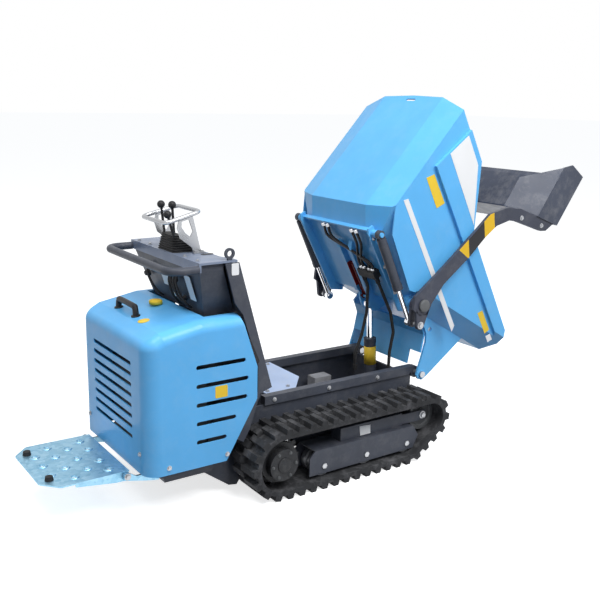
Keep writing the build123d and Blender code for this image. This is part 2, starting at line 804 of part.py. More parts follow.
def tub_form(inset):
    """Solid of the tub, drawn in by inset; it runs on above the rim."""
    with BuildPart() as form:
        with BuildSketch(side_plane(skip_half - inset)):
            with BuildLine():
                Polyline(
                    (-735, floor_z), (slope_foot_x, floor_z), (84, 325), (lip_x, lip_low_z), (lip_x, 720),
                    (rear_top_x - rear_lean * (720 - rear_top_z), 720), (rear_fold_x, rear_fold_z), close=True,
                )
            make_face()
            if inset:
                offset(amount=-inset, kind=Kind.INTERSECTION, mode=Mode.REPLACE)
        extrude(amount=2 * (skip_half - inset))
        with BuildSketch(side_plane(band_y - inset)):
            with BuildLine():
                Polyline((-842, 384), (76, 397), (99, 423), (99, 720), (-900, 720), (-880, 614), close=True)
            make_face()
            if inset:
                offset(amount=-inset, kind=Kind.INTERSECTION, mode=Mode.REPLACE)
        extrude(amount=2 * (band_y - inset))
        for sign in (-1, 1):
            fold = (rear_fold_x, sign * rear_panel_half, rear_fold_z)
            trims = {
                "rear corner": [fold, (rear_top_x, sign * rear_panel_half, rear_top_z),
                                (rear_fold_x + corner_set, sign * skip_half, rear_fold_z)],
                "lower rear": [fold, (-735, sign * rear_panel_half, floor_z), (-804, sign * skip_half, 132)],
                "floor side": [(-700, sign * 250, floor_z), (-400, sign * 250, floor_z),
                               (-400, sign * skip_half, 140)],
                "slope side": [(slope_foot_x, sign * 250, floor_z), (84, sign * 250, 325),
                               (slope_foot_x - 40, sign * skip_half, floor_z + 65)],
            }
            for points in trims.values():
                add(beyond(points, inset), mode=Mode.SUBTRACT)
        if inset == 0:
            with BuildSketch(Plane.XY.offset(712)):
                Rectangle(4000, 1000)
            extrude(amount=100, mode=Mode.SUBTRACT)
    return form.part


tub_hull = tub_form(0)
with BuildPart() as skip_tub:
    add(tub_hull)
    add(tub_form(skip_wall), mode=Mode.SUBTRACT)
    # rim: high at the rear, stepping down to the pouring lip
    with BuildSketch(side_plane(400)):
        with BuildLine():
            Polyline((-738, 622), (-467, rim_low_z), (57, rim_low_z), (lip_x, lip_high_z), (300, lip_high_z),
                     (300, 900), (-738, 900), close=True)
        make_face()
    extrude(amount=800, mode=Mode.SUBTRACT)
    with BuildSketch(Plane(origin=(-1200, 0, 0), x_dir=(0, 1, 0), z_dir=(1, 0, 0))):
        with BuildLine():
            Polyline((-400, rim_high_z - 4), (-rear_panel_half, 645), (0, rear_top_z), (rear_panel_half, 645),
                     (400, rim_high_z - 4), (400, 900), (-400, 900), close=True)
        make_face()
    extrude(amount=470, mode=Mode.SUBTRACT)
    # skirts over the lift cylinders
    for sign in (-1, 1):
        with BuildSketch(side_plane(sign * skip_half)):
            with BuildLine():
                Polyline((-797, 136), (-700, 73), (-439, 55), (-415, 75), (-395, 145), (-780, 145), close=True)
            make_face()
        extrude(amount=sign * skip_wall)
    # slot in the rear wall's top
    with BuildSketch(Plane(origin=(-1100, 0, 628), x_dir=(0, 1, 0), z_dir=(1, 0, 0))):
        SlotOverall(60, 12)
    extrude(amount=200, mode=Mode.SUBTRACT)
save(skip_place * skip_tub.part, "skip_tub")

with BuildPart() as skip_subframe:
    for sign in (-1, 1):
        with BuildSketch(side_plane(sign * (bracket_y + bracket_plate))):
            # side plate under the floor
            with BuildLine():
                Polyline((-750, floor_z), (-750, 24), (-730, 14), (-340, 14), (-300, 70), (-330, 90), (-400, 90),
                         (-420, floor_z), close=True)
            make_face()
            with BuildLine():
                Polyline(
                    (-225, 145), (-212, 106), (-152, 103), (-118, 84), (-83, 50), (-26, -10), (-10, -24), (10, -24),
                    (26, -10), (27, 23), (-6, 290), close=True,
                )
            make_face()
            Circle(hinge_pin_r + run_gap, mode=Mode.SUBTRACT)
            with Locations((-158, 128)):
                RegularPolygon(12, 6, mode=Mode.SUBTRACT)
        extrude(amount=sign * bracket_plate)
        # pivot shaft of the arm with its collars
        with BuildSketch(side_plane(sign * bracket_y)):
            with Locations((arm_pivot_x, arm_pivot_z)):
                Circle(16)
        extrude(amount=-sign * (arm_y + arm_plate + 8 - bracket_y))
        with BuildSketch(side_plane(sign * bracket_y)):
            with Locations((arm_pivot_x, arm_pivot_z)):
                Circle(28)
        extrude(amount=-sign * (284 - bracket_y))
        with BuildSketch(side_plane(sign * (arm_y + arm_plate + fit_gap))):
            with Locations((arm_pivot_x, arm_pivot_z)):
                Circle(23)
        extrude(amount=-sign * 5)
        # rear pin of the lift cylinder
        with BuildSketch(side_plane(sign * (bracket_y + bracket_plate))):
            with Locations((lift_pin_x, lift_pin_z)):
                Circle(16)
        extrude(amount=-sign * (lift_y - 14 - bracket_y - bracket_plate))
        with BuildSketch(side_plane(sign * (bracket_y + bracket_plate))):
            with Locations((lift_pin_x, lift_pin_z)):
                Circle(pin_r)
        extrude(amount=-sign * (lift_y + 16 - bracket_y - bracket_plate))
        # cheek plates for the tipping cylinder's upper pin and the prop
        with BuildSketch(side_plane(sign * 36)):
            with BuildLine():
                Polyline((-372, 60), (-366, 30), (-345, 22), (-312, 16), (-285, 18), (-272, 34), (-262, 120),
                         (-330, 100), close=True)
            make_face()
        extrude(amount=sign * 10)
        with BuildSketch(side_plane(sign * 26)):
            with Locations((tip_eye_x, tip_eye_z)):
                Circle(15)
        extrude(amount=sign * (26 - tip_size["eye_half"] - fit_gap))
    # cross plate between the hinge brackets
    with BuildSketch(side_plane(bracket_y)):
        with BuildLine():
            Polyline((-200, 100), (-150, 94), (-88, 42), (-82, 48), (-148, 102), (-200, 108), close=True)
        make_face()
    extrude(amount=2 * bracket_y)
    with BuildSketch(side_plane(bracket_y)):
        with BuildLine():
            Polyline((-735, floor_z), (-735, 30), (-727, 30), (-727, floor_z), close=True)
        make_face()
    extrude(amount=2 * bracket_y)
    # pair of floor channels
    for y in (26, -50):
        with BuildSketch(side_plane(y + 24)):
            with BuildLine():
                Polyline((-640, floor_z), (-610, 25), (-375, 25), (-368, floor_z), close=True)
            make_face()
        extrude(amount=24)
    # the prop's pin
    with BuildSketch(side_plane(30)):
        with Locations((prop_x, prop_z)):
            Circle(6)
    extrude(amount=60)
    add(tub_hull, mode=Mode.SUBTRACT)
save(skip_place * skip_subframe.part, "skip_subframe")

# oil hoses of the arms' cylinders, from a junction block under the floor down into the chassis well
hose_r = 7
hoses = [
    {"y": -62, "route": [(-420, 30), (-313, -29), (-236, -97), (-181, -163), (-114, -196)]},
    {"y": -150, "route": [(-292, 32), (-202, 8), (-131, -49), (-54, -93)]},
]
with BuildPart() as oil_hoses:
    with BuildSketch(Plane.XY.offset(16)):
        with Locations((-500, -108)):
            Rectangle(36, 112)
    extrude(amount=floor_z - 16)
    for hose in hoses:
        start = (-482, hose["y"], hose["route"][0][1])
        with BuildLine() as hose_line:
            FilletPolyline(start, *[(x, hose["y"], z) for x, z in hose["route"]], radius=55)
        with BuildSketch(Plane(origin=start, z_dir=(1, 0, 0))):
            Circle(hose_r)
        sweep(path=hose_line.line)
        # end fitting
        (x0, z0), (x1, z1) = hose["route"][-2:]
        with BuildSketch(Plane(origin=(x1, hose["y"], z1), z_dir=(x0 - x1, 0, z0 - z1))):
            Circle(hose_r + 3)
        extrude(amount=24)
        # sleeve at the block
        with BuildSketch(Plane(origin=start, z_dir=(1, 0, 0))):
            Circle(hose_r + 3)
        extrude(amount=26)
save(skip_place * oil_hoses.part, "oil_hoses")

# channel section strut that drops over the bare rod of the tipping cylinder
with BuildPart() as safety_prop:
    with BuildSketch(Plane(origin=(prop_x - 14, 0, prop_z), x_dir=(0, -1, 0), z_dir=(-1, 0, 0))):
        with BuildLine():
            Polyline((-20, 5), (-20, -16), (-17, -16), (-17, 2), (17, 2), (17, -16), (20, -16), (20, 5), close=True)
        make_face()
    extrude(amount=prop_long - 14)
    for y in (20, -17):
        with BuildSketch(side_plane(y)):
            with BuildLine():
                Polyline((prop_x - 20, prop_z + 5), (prop_x, prop_z + 5), (prop_x, prop_z - 12), (prop_x - 20, prop_z - 16),
                         close=True)
            make_face()
            with Locations((prop_x, prop_z)):
                Circle(11)
                Circle(6 + run_gap, mode=Mode.SUBTRACT)
        extrude(amount=3)
    # the flanges stop short of the cylinder's eye, which they pass as the prop swings
    with BuildSketch(side_plane(30)):
        with Locations((prop_x - 41, prop_z - 12)):
            Rectangle(54, 20)
    extrude(amount=60, mode=Mode.SUBTRACT)
save(skip_place * safety_prop.part, "safety_prop")

# ================================================================ cylinders


def cylinder_plane(start, end, y):
    """Side plane whose x axis runs from start to end, both x and z; it extrudes towards -Y."""
    run = hypot(end[0] - start[0], end[1] - start[1])
    along = ((end[0] - start[0]) / run, 0, (end[1] - start[1]) / run)
    return Plane(origin=(start[0], y, start[1]), x_dir=along, z_dir=(0, -1, 0))


def barrel(size, y):
    """Barrel along x from its pin at the origin, lying in the plane y, with a bore for the rod."""
    with BuildPart() as body:
        with BuildSketch(side_plane(y)):
            with BuildLine():
                Polyline((size["eye"], 0), (size["eye"], size["barrel_r"]), (size["barrel"] - 22, size["barrel_r"]),
                         (size["barrel"] - 22, size["barrel_r"] + 1.5), (size["barrel"], size["barrel_r"] + 1.5),
                         (size["barrel"], 0), close=True)
            make_face()
        revolve(axis=Axis((0, y, 0), (1, 0, 0)))
        with BuildSketch(side_plane(y + size["eye_half"])):
            Circle(size["eye"])
            with Locations((size["eye"] / 2, 0)):
                Rectangle(size["eye"] + 4, 1.5 * size["eye"])
        extrude(amount=2 * size["eye_half"])
        with BuildSketch(side_plane(y + size["eye_half"] + 1)):
            Circle(pin_r + run_gap)
        extrude(amount=2 * size["eye_half"] + 2, mode=Mode.SUBTRACT)
        with BuildSketch(Plane(origin=(size["eye"] + 8, y, 0), z_dir=(1, 0, 0))):
            Circle(size["rod_r"] + run_gap)
        extrude(amount=size["barrel"], mode=Mode.SUBTRACT)
    return body.part


def rod(size, length, y):
    """Rod along x; its eye, with the pin's middle in it, is at the distance length from the barrel's pin."""
    with BuildPart() as body:
        with BuildSketch(Plane(origin=(length - size["rod"], y, 0), z_dir=(1, 0, 0))):
            Circle(size["rod_r"])
        extrude(amount=size["rod"] - size["eye"] + 3)
        with BuildSketch(side_plane(y + size["eye_half"])):
            with Locations((length, 0)):
                Circle(size["eye"])
        extrude(amount=2 * size["eye_half"])
    return body.part


tip_eye = skip_to_machine(tip_eye_x, tip_eye_z)
tip_line = cylinder_plane((tip_base_x, tip_base_z), tip_eye, 0)
tip_length = hypot(tip_eye[0] - tip_base_x, tip_eye[1] - tip_base_z)
tip_turn = Plane(origin=tip_line.origin, x_dir=tip_line.x_dir, z_dir=tip_line.x_dir.cross(Vector(0, 1, 0))).location
save(tip_turn * barrel(tip_size, 0), "tip_barrel")
save(tip_turn * rod(tip_size, tip_length, 0), "tip_rod")

lift_base = skip_to_machine(lift_pin_x, lift_pin_z)
lift_eye = arm_to_machine(lever_x, lever_z)
lift_line = cylinder_plane(lift_base, lift_eye, 0)
lift_length = hypot(lift_eye[0] - lift_base[0], lift_eye[1] - lift_base[1])
lift_turn = Plane(origin=lift_line.origin, x_dir=lift_line.x_dir, z_dir=lift_line.x_dir.cross(Vector(0, 1, 0))).location
for name, sign in sides.items():
    save(lift_turn * barrel(lift_size, sign * lift_y), f"lift_barrel_{name}")
    with BuildPart() as lift_rod:
        add(rod(lift_size, lift_length, sign * lift_y))
        # head of the eye's pin, on its inner side
        with BuildSketch(side_plane(sign * (lift_y - lift_size["eye_half"]))):
            with Locations((lift_length, 0)):
                Circle(pin_r)
        extrude(amount=sign * 4)
    save(lift_turn * lift_rod.part, f"lift_rod_{name}")

# ================================================================ arms and shovel
back_lean = 70 / 252      # the shovel's back leans by this much
back_top_z = -227.0
side_top_z = -343.0
tip_x = shovel_heel_x + shovel_floor
lever_plate_y = lift_y + 13


def back_x(z):
    """Front face of the shovel's back plate."""
    return shovel_heel_x - back_lean * (z - shovel_floor_z)


def back_rear(z):
    """Rear face of the shovel's back plate, where the arms end."""
    return back_x(z) - shovel_plate * hypot(1, back_lean)


for name, sign in sides.items():
    with BuildPart() as arm:
        with BuildSketch(side_plane(sign * arm_y)):
            with BuildLine():
                Polyline(
                    (-42, 36), (6, 62), (205, -2), (392, -55), (505, -84), (586, -158), (608, -200),
                    (back_rear(-232), -232), (back_rear(-462), -462), (640, -440),
                    (620, -409), (566, -240), (547, -202), (486, -150), (410, -123), (300, -98), (130, -43),
                    (30, -36), (-19, -46), (-44, -10), close=True,
                )
            make_face()
            Circle(hub_r)
            Circle(16 + run_gap, mode=Mode.SUBTRACT)
        extrude(amount=-sign * arm_plate)
        # hub sleeve with the lift cylinder's lever
        with BuildSketch(side_plane(sign * lever_plate_y)):
            Circle(25)
            Circle(16 + run_gap, mode=Mode.SUBTRACT)
        extrude(amount=-sign * (arm_y - lever_plate_y))
        with BuildSketch(side_plane(sign * lever_plate_y)):
            with Locations((lever_x, lever_z)):
                Circle(lever_end_r)
            Circle(25)
            make_hull()
            Circle(16 + run_gap, mode=Mode.SUBTRACT)
        extrude(amount=-sign * 12)
        # boss that meets the cylinder's eye
        with BuildSketch(side_plane(sign * (lift_y + lift_size["eye_half"] + fit_gap))):
            with Locations((lever_x, lever_z)):
                Circle(15)
        extrude(amount=-sign * (lever_plate_y - lift_y - lift_size["eye_half"] - fit_gap))
    save(arm_place * arm.part, f"arm_{name}")

with BuildPart() as shovel:
    # floor with its cutting edge
    with BuildSketch(side_plane(shovel_half)):
        with BuildLine():
            Polyline((back_rear(shovel_floor_z - shovel_plate), shovel_floor_z - shovel_plate),
                     (tip_x, shovel_floor_z - shovel_plate), (tip_x - 24, shovel_floor_z),
                     (back_rear(shovel_floor_z), shovel_floor_z), close=True)
        make_face()
    extrude(amount=2 * shovel_half)
    # back plate, narrowing above the side walls' shoulder
    back_length = hypot(1, back_lean)
    with BuildSketch(Plane(origin=(shovel_heel_x, 0, shovel_floor_z), x_dir=(0, 1, 0),
                           z_dir=(1, 0, back_lean))):
        with BuildLine():
            Polyline(
                (-shovel_half, -shovel_plate), (-shovel_half, (side_top_z - shovel_floor_z) * back_length),
                (-262, (back_top_z - shovel_floor_z) * back_length),
                (262, (back_top_z - shovel_floor_z) * back_length),
                (shovel_half, (side_top_z - shovel_floor_z) * back_length), (shovel_half, -shovel_plate), close=True,
            )
        make_face()
    extrude(amount=-shovel_plate)
    for sign in (-1, 1):
        with BuildSketch(side_plane(sign * shovel_half)):
            with BuildLine():
                Polyline((back_rear(shovel_floor_z - shovel_plate), shovel_floor_z - shovel_plate),
                         (tip_x, shovel_floor_z - shovel_plate), (tip_x, -388), (920, side_top_z),
                         (back_rear(side_top_z), side_top_z), close=True)
            make_face()
        extrude(amount=sign * shovel_plate)
        # upper side wall leaning in
        shoulder = Vector(0, sign * shovel_half, side_top_z)
        lean = Vector(0, sign * (262 - shovel_half), back_top_z - side_top_z)
        with BuildSketch(Plane(origin=shoulder, x_dir=(1, 0, 0), z_dir=Vector(1, 0, 0).cross(lean))):
            with BuildLine():
                Polyline((back_x(side_top_z) - 1, 0), (920, 0), (781, lean.length),
                         (back_x(back_top_z) - 1, lean.length), close=True)
            make_face()
        extrude(amount=sign * shovel_plate)
save(arm_place * shovel.part, "shovel")
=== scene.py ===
import math
import bpy
import numpy as np
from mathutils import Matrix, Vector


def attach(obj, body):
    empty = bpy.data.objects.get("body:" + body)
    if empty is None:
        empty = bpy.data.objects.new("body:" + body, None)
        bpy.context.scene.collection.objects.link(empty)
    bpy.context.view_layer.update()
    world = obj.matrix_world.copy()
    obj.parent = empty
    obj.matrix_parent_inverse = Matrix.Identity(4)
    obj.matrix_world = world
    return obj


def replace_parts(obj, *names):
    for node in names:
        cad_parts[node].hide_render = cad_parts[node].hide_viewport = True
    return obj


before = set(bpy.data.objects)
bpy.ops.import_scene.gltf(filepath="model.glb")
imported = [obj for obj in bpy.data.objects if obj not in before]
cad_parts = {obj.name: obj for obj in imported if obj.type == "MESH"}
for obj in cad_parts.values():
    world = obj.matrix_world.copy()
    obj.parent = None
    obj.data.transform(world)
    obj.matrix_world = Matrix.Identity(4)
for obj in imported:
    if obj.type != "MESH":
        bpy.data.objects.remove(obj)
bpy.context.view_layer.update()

print("stage: frame loaded")

# where things are: the tipped bodies have frames of their own, as in the part's source; turns are nose-up degrees
skipFrame = {"origin": (0.419, 0.0, 0.337), "turn": -62.0}
armFrame = {"forward": -0.362, "up": 0.066, "turn": 54.3}


# Axes of a body's own frame, forward and up, turned nose-up by turn about the cross axis.
def localFrame(origin, turn):
    forward = np.array([math.cos(turn), 0.0, math.sin(turn)])
    up = np.array([-math.sin(turn), 0.0, math.cos(turn)])
    return {"origin": np.array(origin), "x": forward, "y": np.array([0.0, 1.0, 0.0]), "z": up}


skipAxes = localFrame(skipFrame["origin"], math.radians(skipFrame["turn"]))
armOrigin = skipAxes["origin"] + skipAxes["x"] * armFrame["forward"] + skipAxes["z"] * armFrame["up"]
armAxes = localFrame(armOrigin, math.radians(armFrame["turn"]))
machineAxes = localFrame((0.0, 0.0, 0.0), 0.0)


# Points given in a body's own frame, as x, y, z, put into the machine's frame.
def place(points, axes):
    p = np.asarray(points, float)
    return axes["origin"] + p[..., 0:1] * axes["x"] + p[..., 1:2] * axes["y"] + p[..., 2:3] * axes["z"]


# One object from points and faces, in its finish, riding its body.
def makePiece(name, verts, faces, material, body, smooth=True):
    mesh = bpy.data.meshes.new(name)
    mesh.from_pydata(np.asarray(verts, float).tolist(), [], [tuple(f) for f in faces])
    mesh.validate()
    mesh.polygons.foreach_set("use_smooth", [smooth] * len(mesh.polygons))
    mesh.update()
    piece = bpy.data.objects.new(name, mesh)
    bpy.context.scene.collection.objects.link(piece)
    piece.data.materials.append(material)
    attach(piece, body)
    return piece


# Rounds the edges that turn by more than angle, in degrees, over width.
def bevelled(piece, width, segments=2, angle=35.0):
    mod = piece.modifiers.new("edges", "BEVEL")
    mod.width = width
    mod.segments = segments
    mod.limit_method = "ANGLE"
    mod.angle_limit = math.radians(angle)
    mod.harden_normals = False
    return piece


# Quads of a grid of points, row by row, closed round either way if asked.
def gridFaces(rows, cols, wrapRows=False, wrapCols=False):
    r = np.arange(rows if wrapRows else rows - 1)[:, None]
    c = np.arange(cols if wrapCols else cols - 1)[None, :]
    r2, c2 = (r + 1) % rows, (c + 1) % cols
    quads = np.stack([r * cols + c, r * cols + c2, r2 * cols + c2, r2 * cols + c], -1)
    return quads.reshape(-1, 4).tolist()


# Surface of revolution: each profile point (along, radius) goes round the axis through centre. A hollow one is a
# closed ring, whose last profile point joins the first; the others are closed by flat ends.
def turned(profile, centre, axis, sides=32, hollow=False):
    profile = np.asarray(profile, float)
    axis = np.asarray(axis, float) / np.linalg.norm(axis)
    helper = np.array([0.0, 0.0, 1.0]) if abs(axis[2]) < 0.9 else np.array([1.0, 0.0, 0.0])
    side = np.cross(helper, axis)
    side /= np.linalg.norm(side)
    other = np.cross(axis, side)
    turn = np.linspace(0, 2 * math.pi, sides, endpoint=False)
    ring = np.cos(turn)[:, None] * side + np.sin(turn)[:, None] * other
    pts = np.asarray(centre) + profile[:, None, 0:1] * axis + profile[:, None, 1:2] * ring[None]
    verts = pts.reshape(-1, 3)
    if hollow:
        return verts, gridFaces(len(profile), sides, wrapRows=True, wrapCols=True)
    faces = gridFaces(len(profile), sides, wrapCols=True)
    first = list(range(sides))[::-1]
    last = [(len(profile) - 1) * sides + i for i in range(sides)]
    return verts, faces + [first, last]


# Round tube: a circle carried along the path, its frame turned as little as possible from point to point.
def tubeAlong(path, radius, sides=12):
    path = np.asarray(path, float)
    radius = np.broadcast_to(np.asarray(radius, float), (len(path),))
    tangent = np.gradient(path, axis=0)
    tangent /= np.linalg.norm(tangent, axis=1, keepdims=True)
    helper = np.array([0.0, 0.0, 1.0]) if abs(tangent[0][2]) < 0.9 else np.array([1.0, 0.0, 0.0])
    side = np.cross(helper, tangent[0])
    sideRows = []
    for t in tangent:
        side = side - t * (side @ t)
        side = side / np.linalg.norm(side)
        sideRows.append(side)
    sideRows = np.array(sideRows)
    other = np.cross(tangent, sideRows)
    turn = np.linspace(0, 2 * math.pi, sides, endpoint=False)
    ring = np.cos(turn)[None, :, None] * sideRows[:, None] + np.sin(turn)[None, :, None] * other[:, None]
    verts = (path[:, None] + radius[:, None, None] * ring).reshape(-1, 3)
    faces = gridFaces(len(path), sides, wrapCols=True)
    first = list(range(sides))[::-1]
    last = [(len(path) - 1) * sides + i for i in range(sides)]
    return verts, faces + [first, last]


# Rounded path through a few points: a cubic through each (Catmull-Rom), sampled evenly in its parameter.
def smoothPath(points, count=40):
    p = np.asarray(points, float)
    p = np.vstack([2 * p[0] - p[1], p, 2 * p[-1] - p[-2]])
    t = np.linspace(0, len(p) - 3 - 1e-9, count)
    i = t.astype(int)
    u = (t - i)[:, None]
    a, b, c, d = p[i], p[i + 1], p[i + 2], p[i + 3]
    return 0.5 * (2 * b + (c - a) * u + (2 * a - 5 * b + 4 * c - d) * u ** 2 + (3 * b - a - 3 * c + d) * u ** 3)


# Flat plate from low to high along one axis. Its outline holds the other two: x and z along y, x and y along z,
# and y and z along x.
def slab(outline, low, high, axes, across="y"):
    outline = np.asarray(outline, float)
    n = len(outline)
    if across == "y":
        ends = [np.stack([outline[:, 0], np.full(n, v), outline[:, 1]], 1) for v in (low, high)]
    elif across == "z":
        ends = [np.stack([outline[:, 0], outline[:, 1], np.full(n, v)], 1) for v in (low, high)]
    else:
        ends = [np.stack([np.full(n, v), outline[:, 0], outline[:, 1]], 1) for v in (low, high)]
    verts = place(np.vstack(ends), axes)
    x, z = outline[:, 0], outline[:, 1]
    area = float(np.sum(x * np.roll(z, -1) - np.roll(x, -1) * z))
    flip = (area > 0) == (across == "y")
    lower, upper = list(range(n)), list(range(n, 2 * n))
    walls = [[i, (i + 1) % n, n + (i + 1) % n, n + i] for i in range(n)]
    faces = [lower[::-1], upper] + walls
    if flip:
        faces = [f[::-1] for f in faces]
    return verts, faces


# Outline of a rectangle with rounded corners: a quarter circle at each, one after the other.
def roundedBox(width, height, radius, centre=(0, 0), steps=5):
    a = np.linspace(0, math.pi / 2, steps)
    out = []
    for k, (sx, sy) in enumerate(((1, 1), (-1, 1), (-1, -1), (1, -1))):
        cx, cy = centre[0] + sx * (width / 2 - radius), centre[1] + sy * (height / 2 - radius)
        turn = a + k * math.pi / 2
        out.append(np.stack([cx + radius * np.cos(turn), cy + radius * np.sin(turn)], 1))
    return np.vstack(out)


# Several (vertices, faces) made one.
def merged(parts):
    verts, faces, base = [], [], 0
    for v, f in parts:
        verts.append(np.asarray(v))
        faces += [[i + base for i in face] for face in f]
        base += len(v)
    return np.vstack(verts), faces


# a bolt's washer and head: widths are shares of the head's radius or the washer's, heights are in metres
boltLook = {"washer": 1.45, "washerTop": 0.92, "headTop": 0.86, "core": 0.2, "washerEdge": 0.0016,
            "washerHigh": 0.002, "cap": 0.0025, "washerSides": 20, "headSides": 6}


# Hexagon heads on round washers; each spot is a point and an outward direction in the frame.
def boltParts(spots, radius, head, axes=machineAxes):
    look = boltLook
    washer, core, foot = radius * look["washer"], radius * look["core"], look["washerHigh"]
    washerProfile = [(0, washer * look["core"]), (0, washer), (look["washerEdge"], washer),
                     (foot, washer * look["washerTop"]), (foot, washer * look["core"])]
    headProfile = [(foot, core), (foot, radius), (foot + head, radius),
                   (look["cap"] + head, radius * look["headTop"]), (look["cap"] + head, core)]
    parts = []
    for point, outward in spots:
        spot = place(np.array([point]), axes)[0]
        out = place(np.array([outward]), axes)[0] - axes["origin"]
        parts.append(turned(washerProfile, spot, out, look["washerSides"]))
        parts.append(turned(headProfile, spot, out, look["headSides"]))
    return merged(parts)


print("stage: helpers ready")


# A fresh material with its node tree and its main shader.
def nodeTree(name):
    material = bpy.data.materials.new(name)
    material.use_nodes = True
    tree = material.node_tree
    return material, tree, tree.nodes["Principled BSDF"]


# One node of a kind, with its settings.
def addNode(tree, kind, **values):
    node = tree.nodes.new(kind)
    for key, value in values.items():
        setattr(node, key, value)
    return node


# Noise over the object's own coordinates, drawn out along an axis where stretch is given.
def noiseNode(tree, scale, detail=4.0, roughness=0.6, stretch=None):
    coords = addNode(tree, "ShaderNodeTexCoord").outputs["Object"]
    noise = addNode(tree, "ShaderNodeTexNoise")
    noise.inputs["Scale"].default_value = scale
    noise.inputs["Detail"].default_value = detail
    noise.inputs["Roughness"].default_value = roughness
    if stretch:
        mapping = addNode(tree, "ShaderNodeMapping")
        mapping.inputs["Scale"].default_value = stretch
        tree.links.new(coords, mapping.inputs["Vector"])
        coords = mapping.outputs["Vector"]
    tree.links.new(coords, noise.inputs["Vector"])
    return noise


# Colour ramp: each stop is a position and a colour, straight lines between them.
def rampNode(tree, source, stops):
    ramp = addNode(tree, "ShaderNodeValToRGB")
    while len(ramp.color_ramp.elements) < len(stops):
        ramp.color_ramp.elements.new(0.5)
    for element, (position, colour) in zip(ramp.color_ramp.elements, stops):
        element.position = position
        element.color = tuple(colour) + (1.0,)
    tree.links.new(source, ramp.inputs["Fac"])
    return ramp.outputs["Color"]


# Blend by a factor from the first colour to the second, which is a plain colour or an output.
def mixNode(tree, factor, first, second):
    mix = addNode(tree, "ShaderNodeMix", data_type="RGBA")
    tree.links.new(factor, mix.inputs[0])
    tree.links.new(first, mix.inputs[6])
    if isinstance(second, tuple):
        mix.inputs[7].default_value = second + (1.0,)
    else:
        tree.links.new(second, mix.inputs[7])
    return mix.outputs[2]


# One arithmetic step on an output; the other values are numbers or outputs.
def mathNode(tree, operation, source, *others):
    node = addNode(tree, "ShaderNodeMath", operation=operation)
    tree.links.new(source, node.inputs[0])
    for socket, other in zip(node.inputs[1:], others):
        if isinstance(other, float):
            socket.default_value = other
        else:
            tree.links.new(other, socket)
    return node.outputs[0]


# How far the object's own coordinates lie along a direction: the sum of each one times its share.
def alongNode(tree, direction):
    coords = addNode(tree, "ShaderNodeTexCoord").outputs["Object"]
    dot = addNode(tree, "ShaderNodeVectorMath", operation="DOT_PRODUCT")
    tree.links.new(coords, dot.inputs[0])
    dot.inputs[1].default_value = tuple(direction)
    return dot.outputs["Value"]


# what all finishes share: gloss of the surface, gloss of a clear coat, height of the grain
surfaceLook = {"specular": 0.22, "coatRoughness": 0.08, "grainHeight": 0.001}


# Fine relief from a noise, on the shader's normal.
def addGrain(tree, shader, noise, strength):
    bump = addNode(tree, "ShaderNodeBump")
    bump.inputs["Strength"].default_value = strength
    bump.inputs["Distance"].default_value = surfaceLook["grainHeight"]
    tree.links.new(noise.outputs["Fac"], bump.inputs["Height"])
    tree.links.new(bump.outputs["Normal"], shader.inputs["Normal"])


# Base colour with a broad shade variation, a fine grain in bump, uneven gloss, and dust that lies in patches.
def finish(name, colour, rough=0.4, metallic=0.0, coat=0.0, grain=60.0, grainDepth=0.1, shade=0.12,
           dust=None, dustAmount=0.0, roughSpread=0.12, patch=6.0, stretch=None):
    material, tree, shader = nodeTree(name)
    link = tree.links.new
    broad = noiseNode(tree, patch, 3.0, 0.55, stretch)
    dark = [c * (1 - shade) for c in colour]
    light = [min(1.0, c * (1 + shade * 0.6)) for c in colour]
    colourOut = rampNode(tree, broad.outputs["Fac"], [(0.3, dark), (0.7, light)])
    if dust:
        grime = noiseNode(tree, 14.0, 6.0, 0.7)
        mask = rampNode(tree, grime.outputs["Fac"], [(0.48, (0, 0, 0)), (0.72, (dustAmount,) * 3)])
        colourOut = mixNode(tree, mask, colourOut, dust)
    link(colourOut, shader.inputs["Base Color"])
    gloss = noiseNode(tree, patch * 3, 5.0, 0.6)
    least, most = max(0.02, rough - roughSpread / 2), min(1.0, rough + roughSpread / 2)
    link(rampNode(tree, gloss.outputs["Fac"], [(0.3, (least,) * 3), (0.7, (most,) * 3)]),
         shader.inputs["Roughness"])
    addGrain(tree, shader, noiseNode(tree, grain, 3.0, 0.5, stretch), grainDepth)
    shader.inputs["Metallic"].default_value = metallic
    shader.inputs["Coat Weight"].default_value = coat
    shader.inputs["Specular IOR Level"].default_value = surfaceLook["specular"]
    shader.inputs["Coat Roughness"].default_value = surfaceLook["coatRoughness"]
    return material


# the colours of the paints, and the finishes: their gloss, grain and dust
paintLook = {
    "bodyBlue": (0.120, 0.475, 0.890),
    "frameGrey": (0.058, 0.065, 0.085),
    "armGrey": (0.052, 0.058, 0.082),
    # the well cover's lilac is a painted reflection of the sky, put on the whole cover
    "coverSkyLilac": (0.36, 0.46, 0.66),
    "propRed": (0.16, 0.012, 0.015),
    "topGrey": (0.18, 0.22, 0.31),
    "shovelGrey": (0.060, 0.070, 0.100),
    "motorBlack": (0.022, 0.023, 0.026),
}
bluePaint = finish("bluePaint", paintLook["bodyBlue"], rough=0.42, coat=0.18, grain=420, grainDepth=0.03, shade=0.05,
                   dust=(0.42, 0.62, 0.80), dustAmount=0.10)
framePaint = finish("framePaint", paintLook["frameGrey"], rough=0.46, coat=0.05, grain=300, grainDepth=0.10,
                    shade=0.16, dust=(0.16, 0.16, 0.17), dustAmount=0.30)
topPaint = finish("topPaint", paintLook["topGrey"], rough=0.36, coat=0.06, metallic=0.25, grain=300, grainDepth=0.06,
                  shade=0.10, dust=(0.5, 0.5, 0.5), dustAmount=0.15)
shovelPaint = finish("shovelPaint", paintLook["shovelGrey"], rough=0.40, coat=0.06, grain=260, grainDepth=0.12,
                     shade=0.16, dust=(0.30, 0.30, 0.31), dustAmount=0.35)
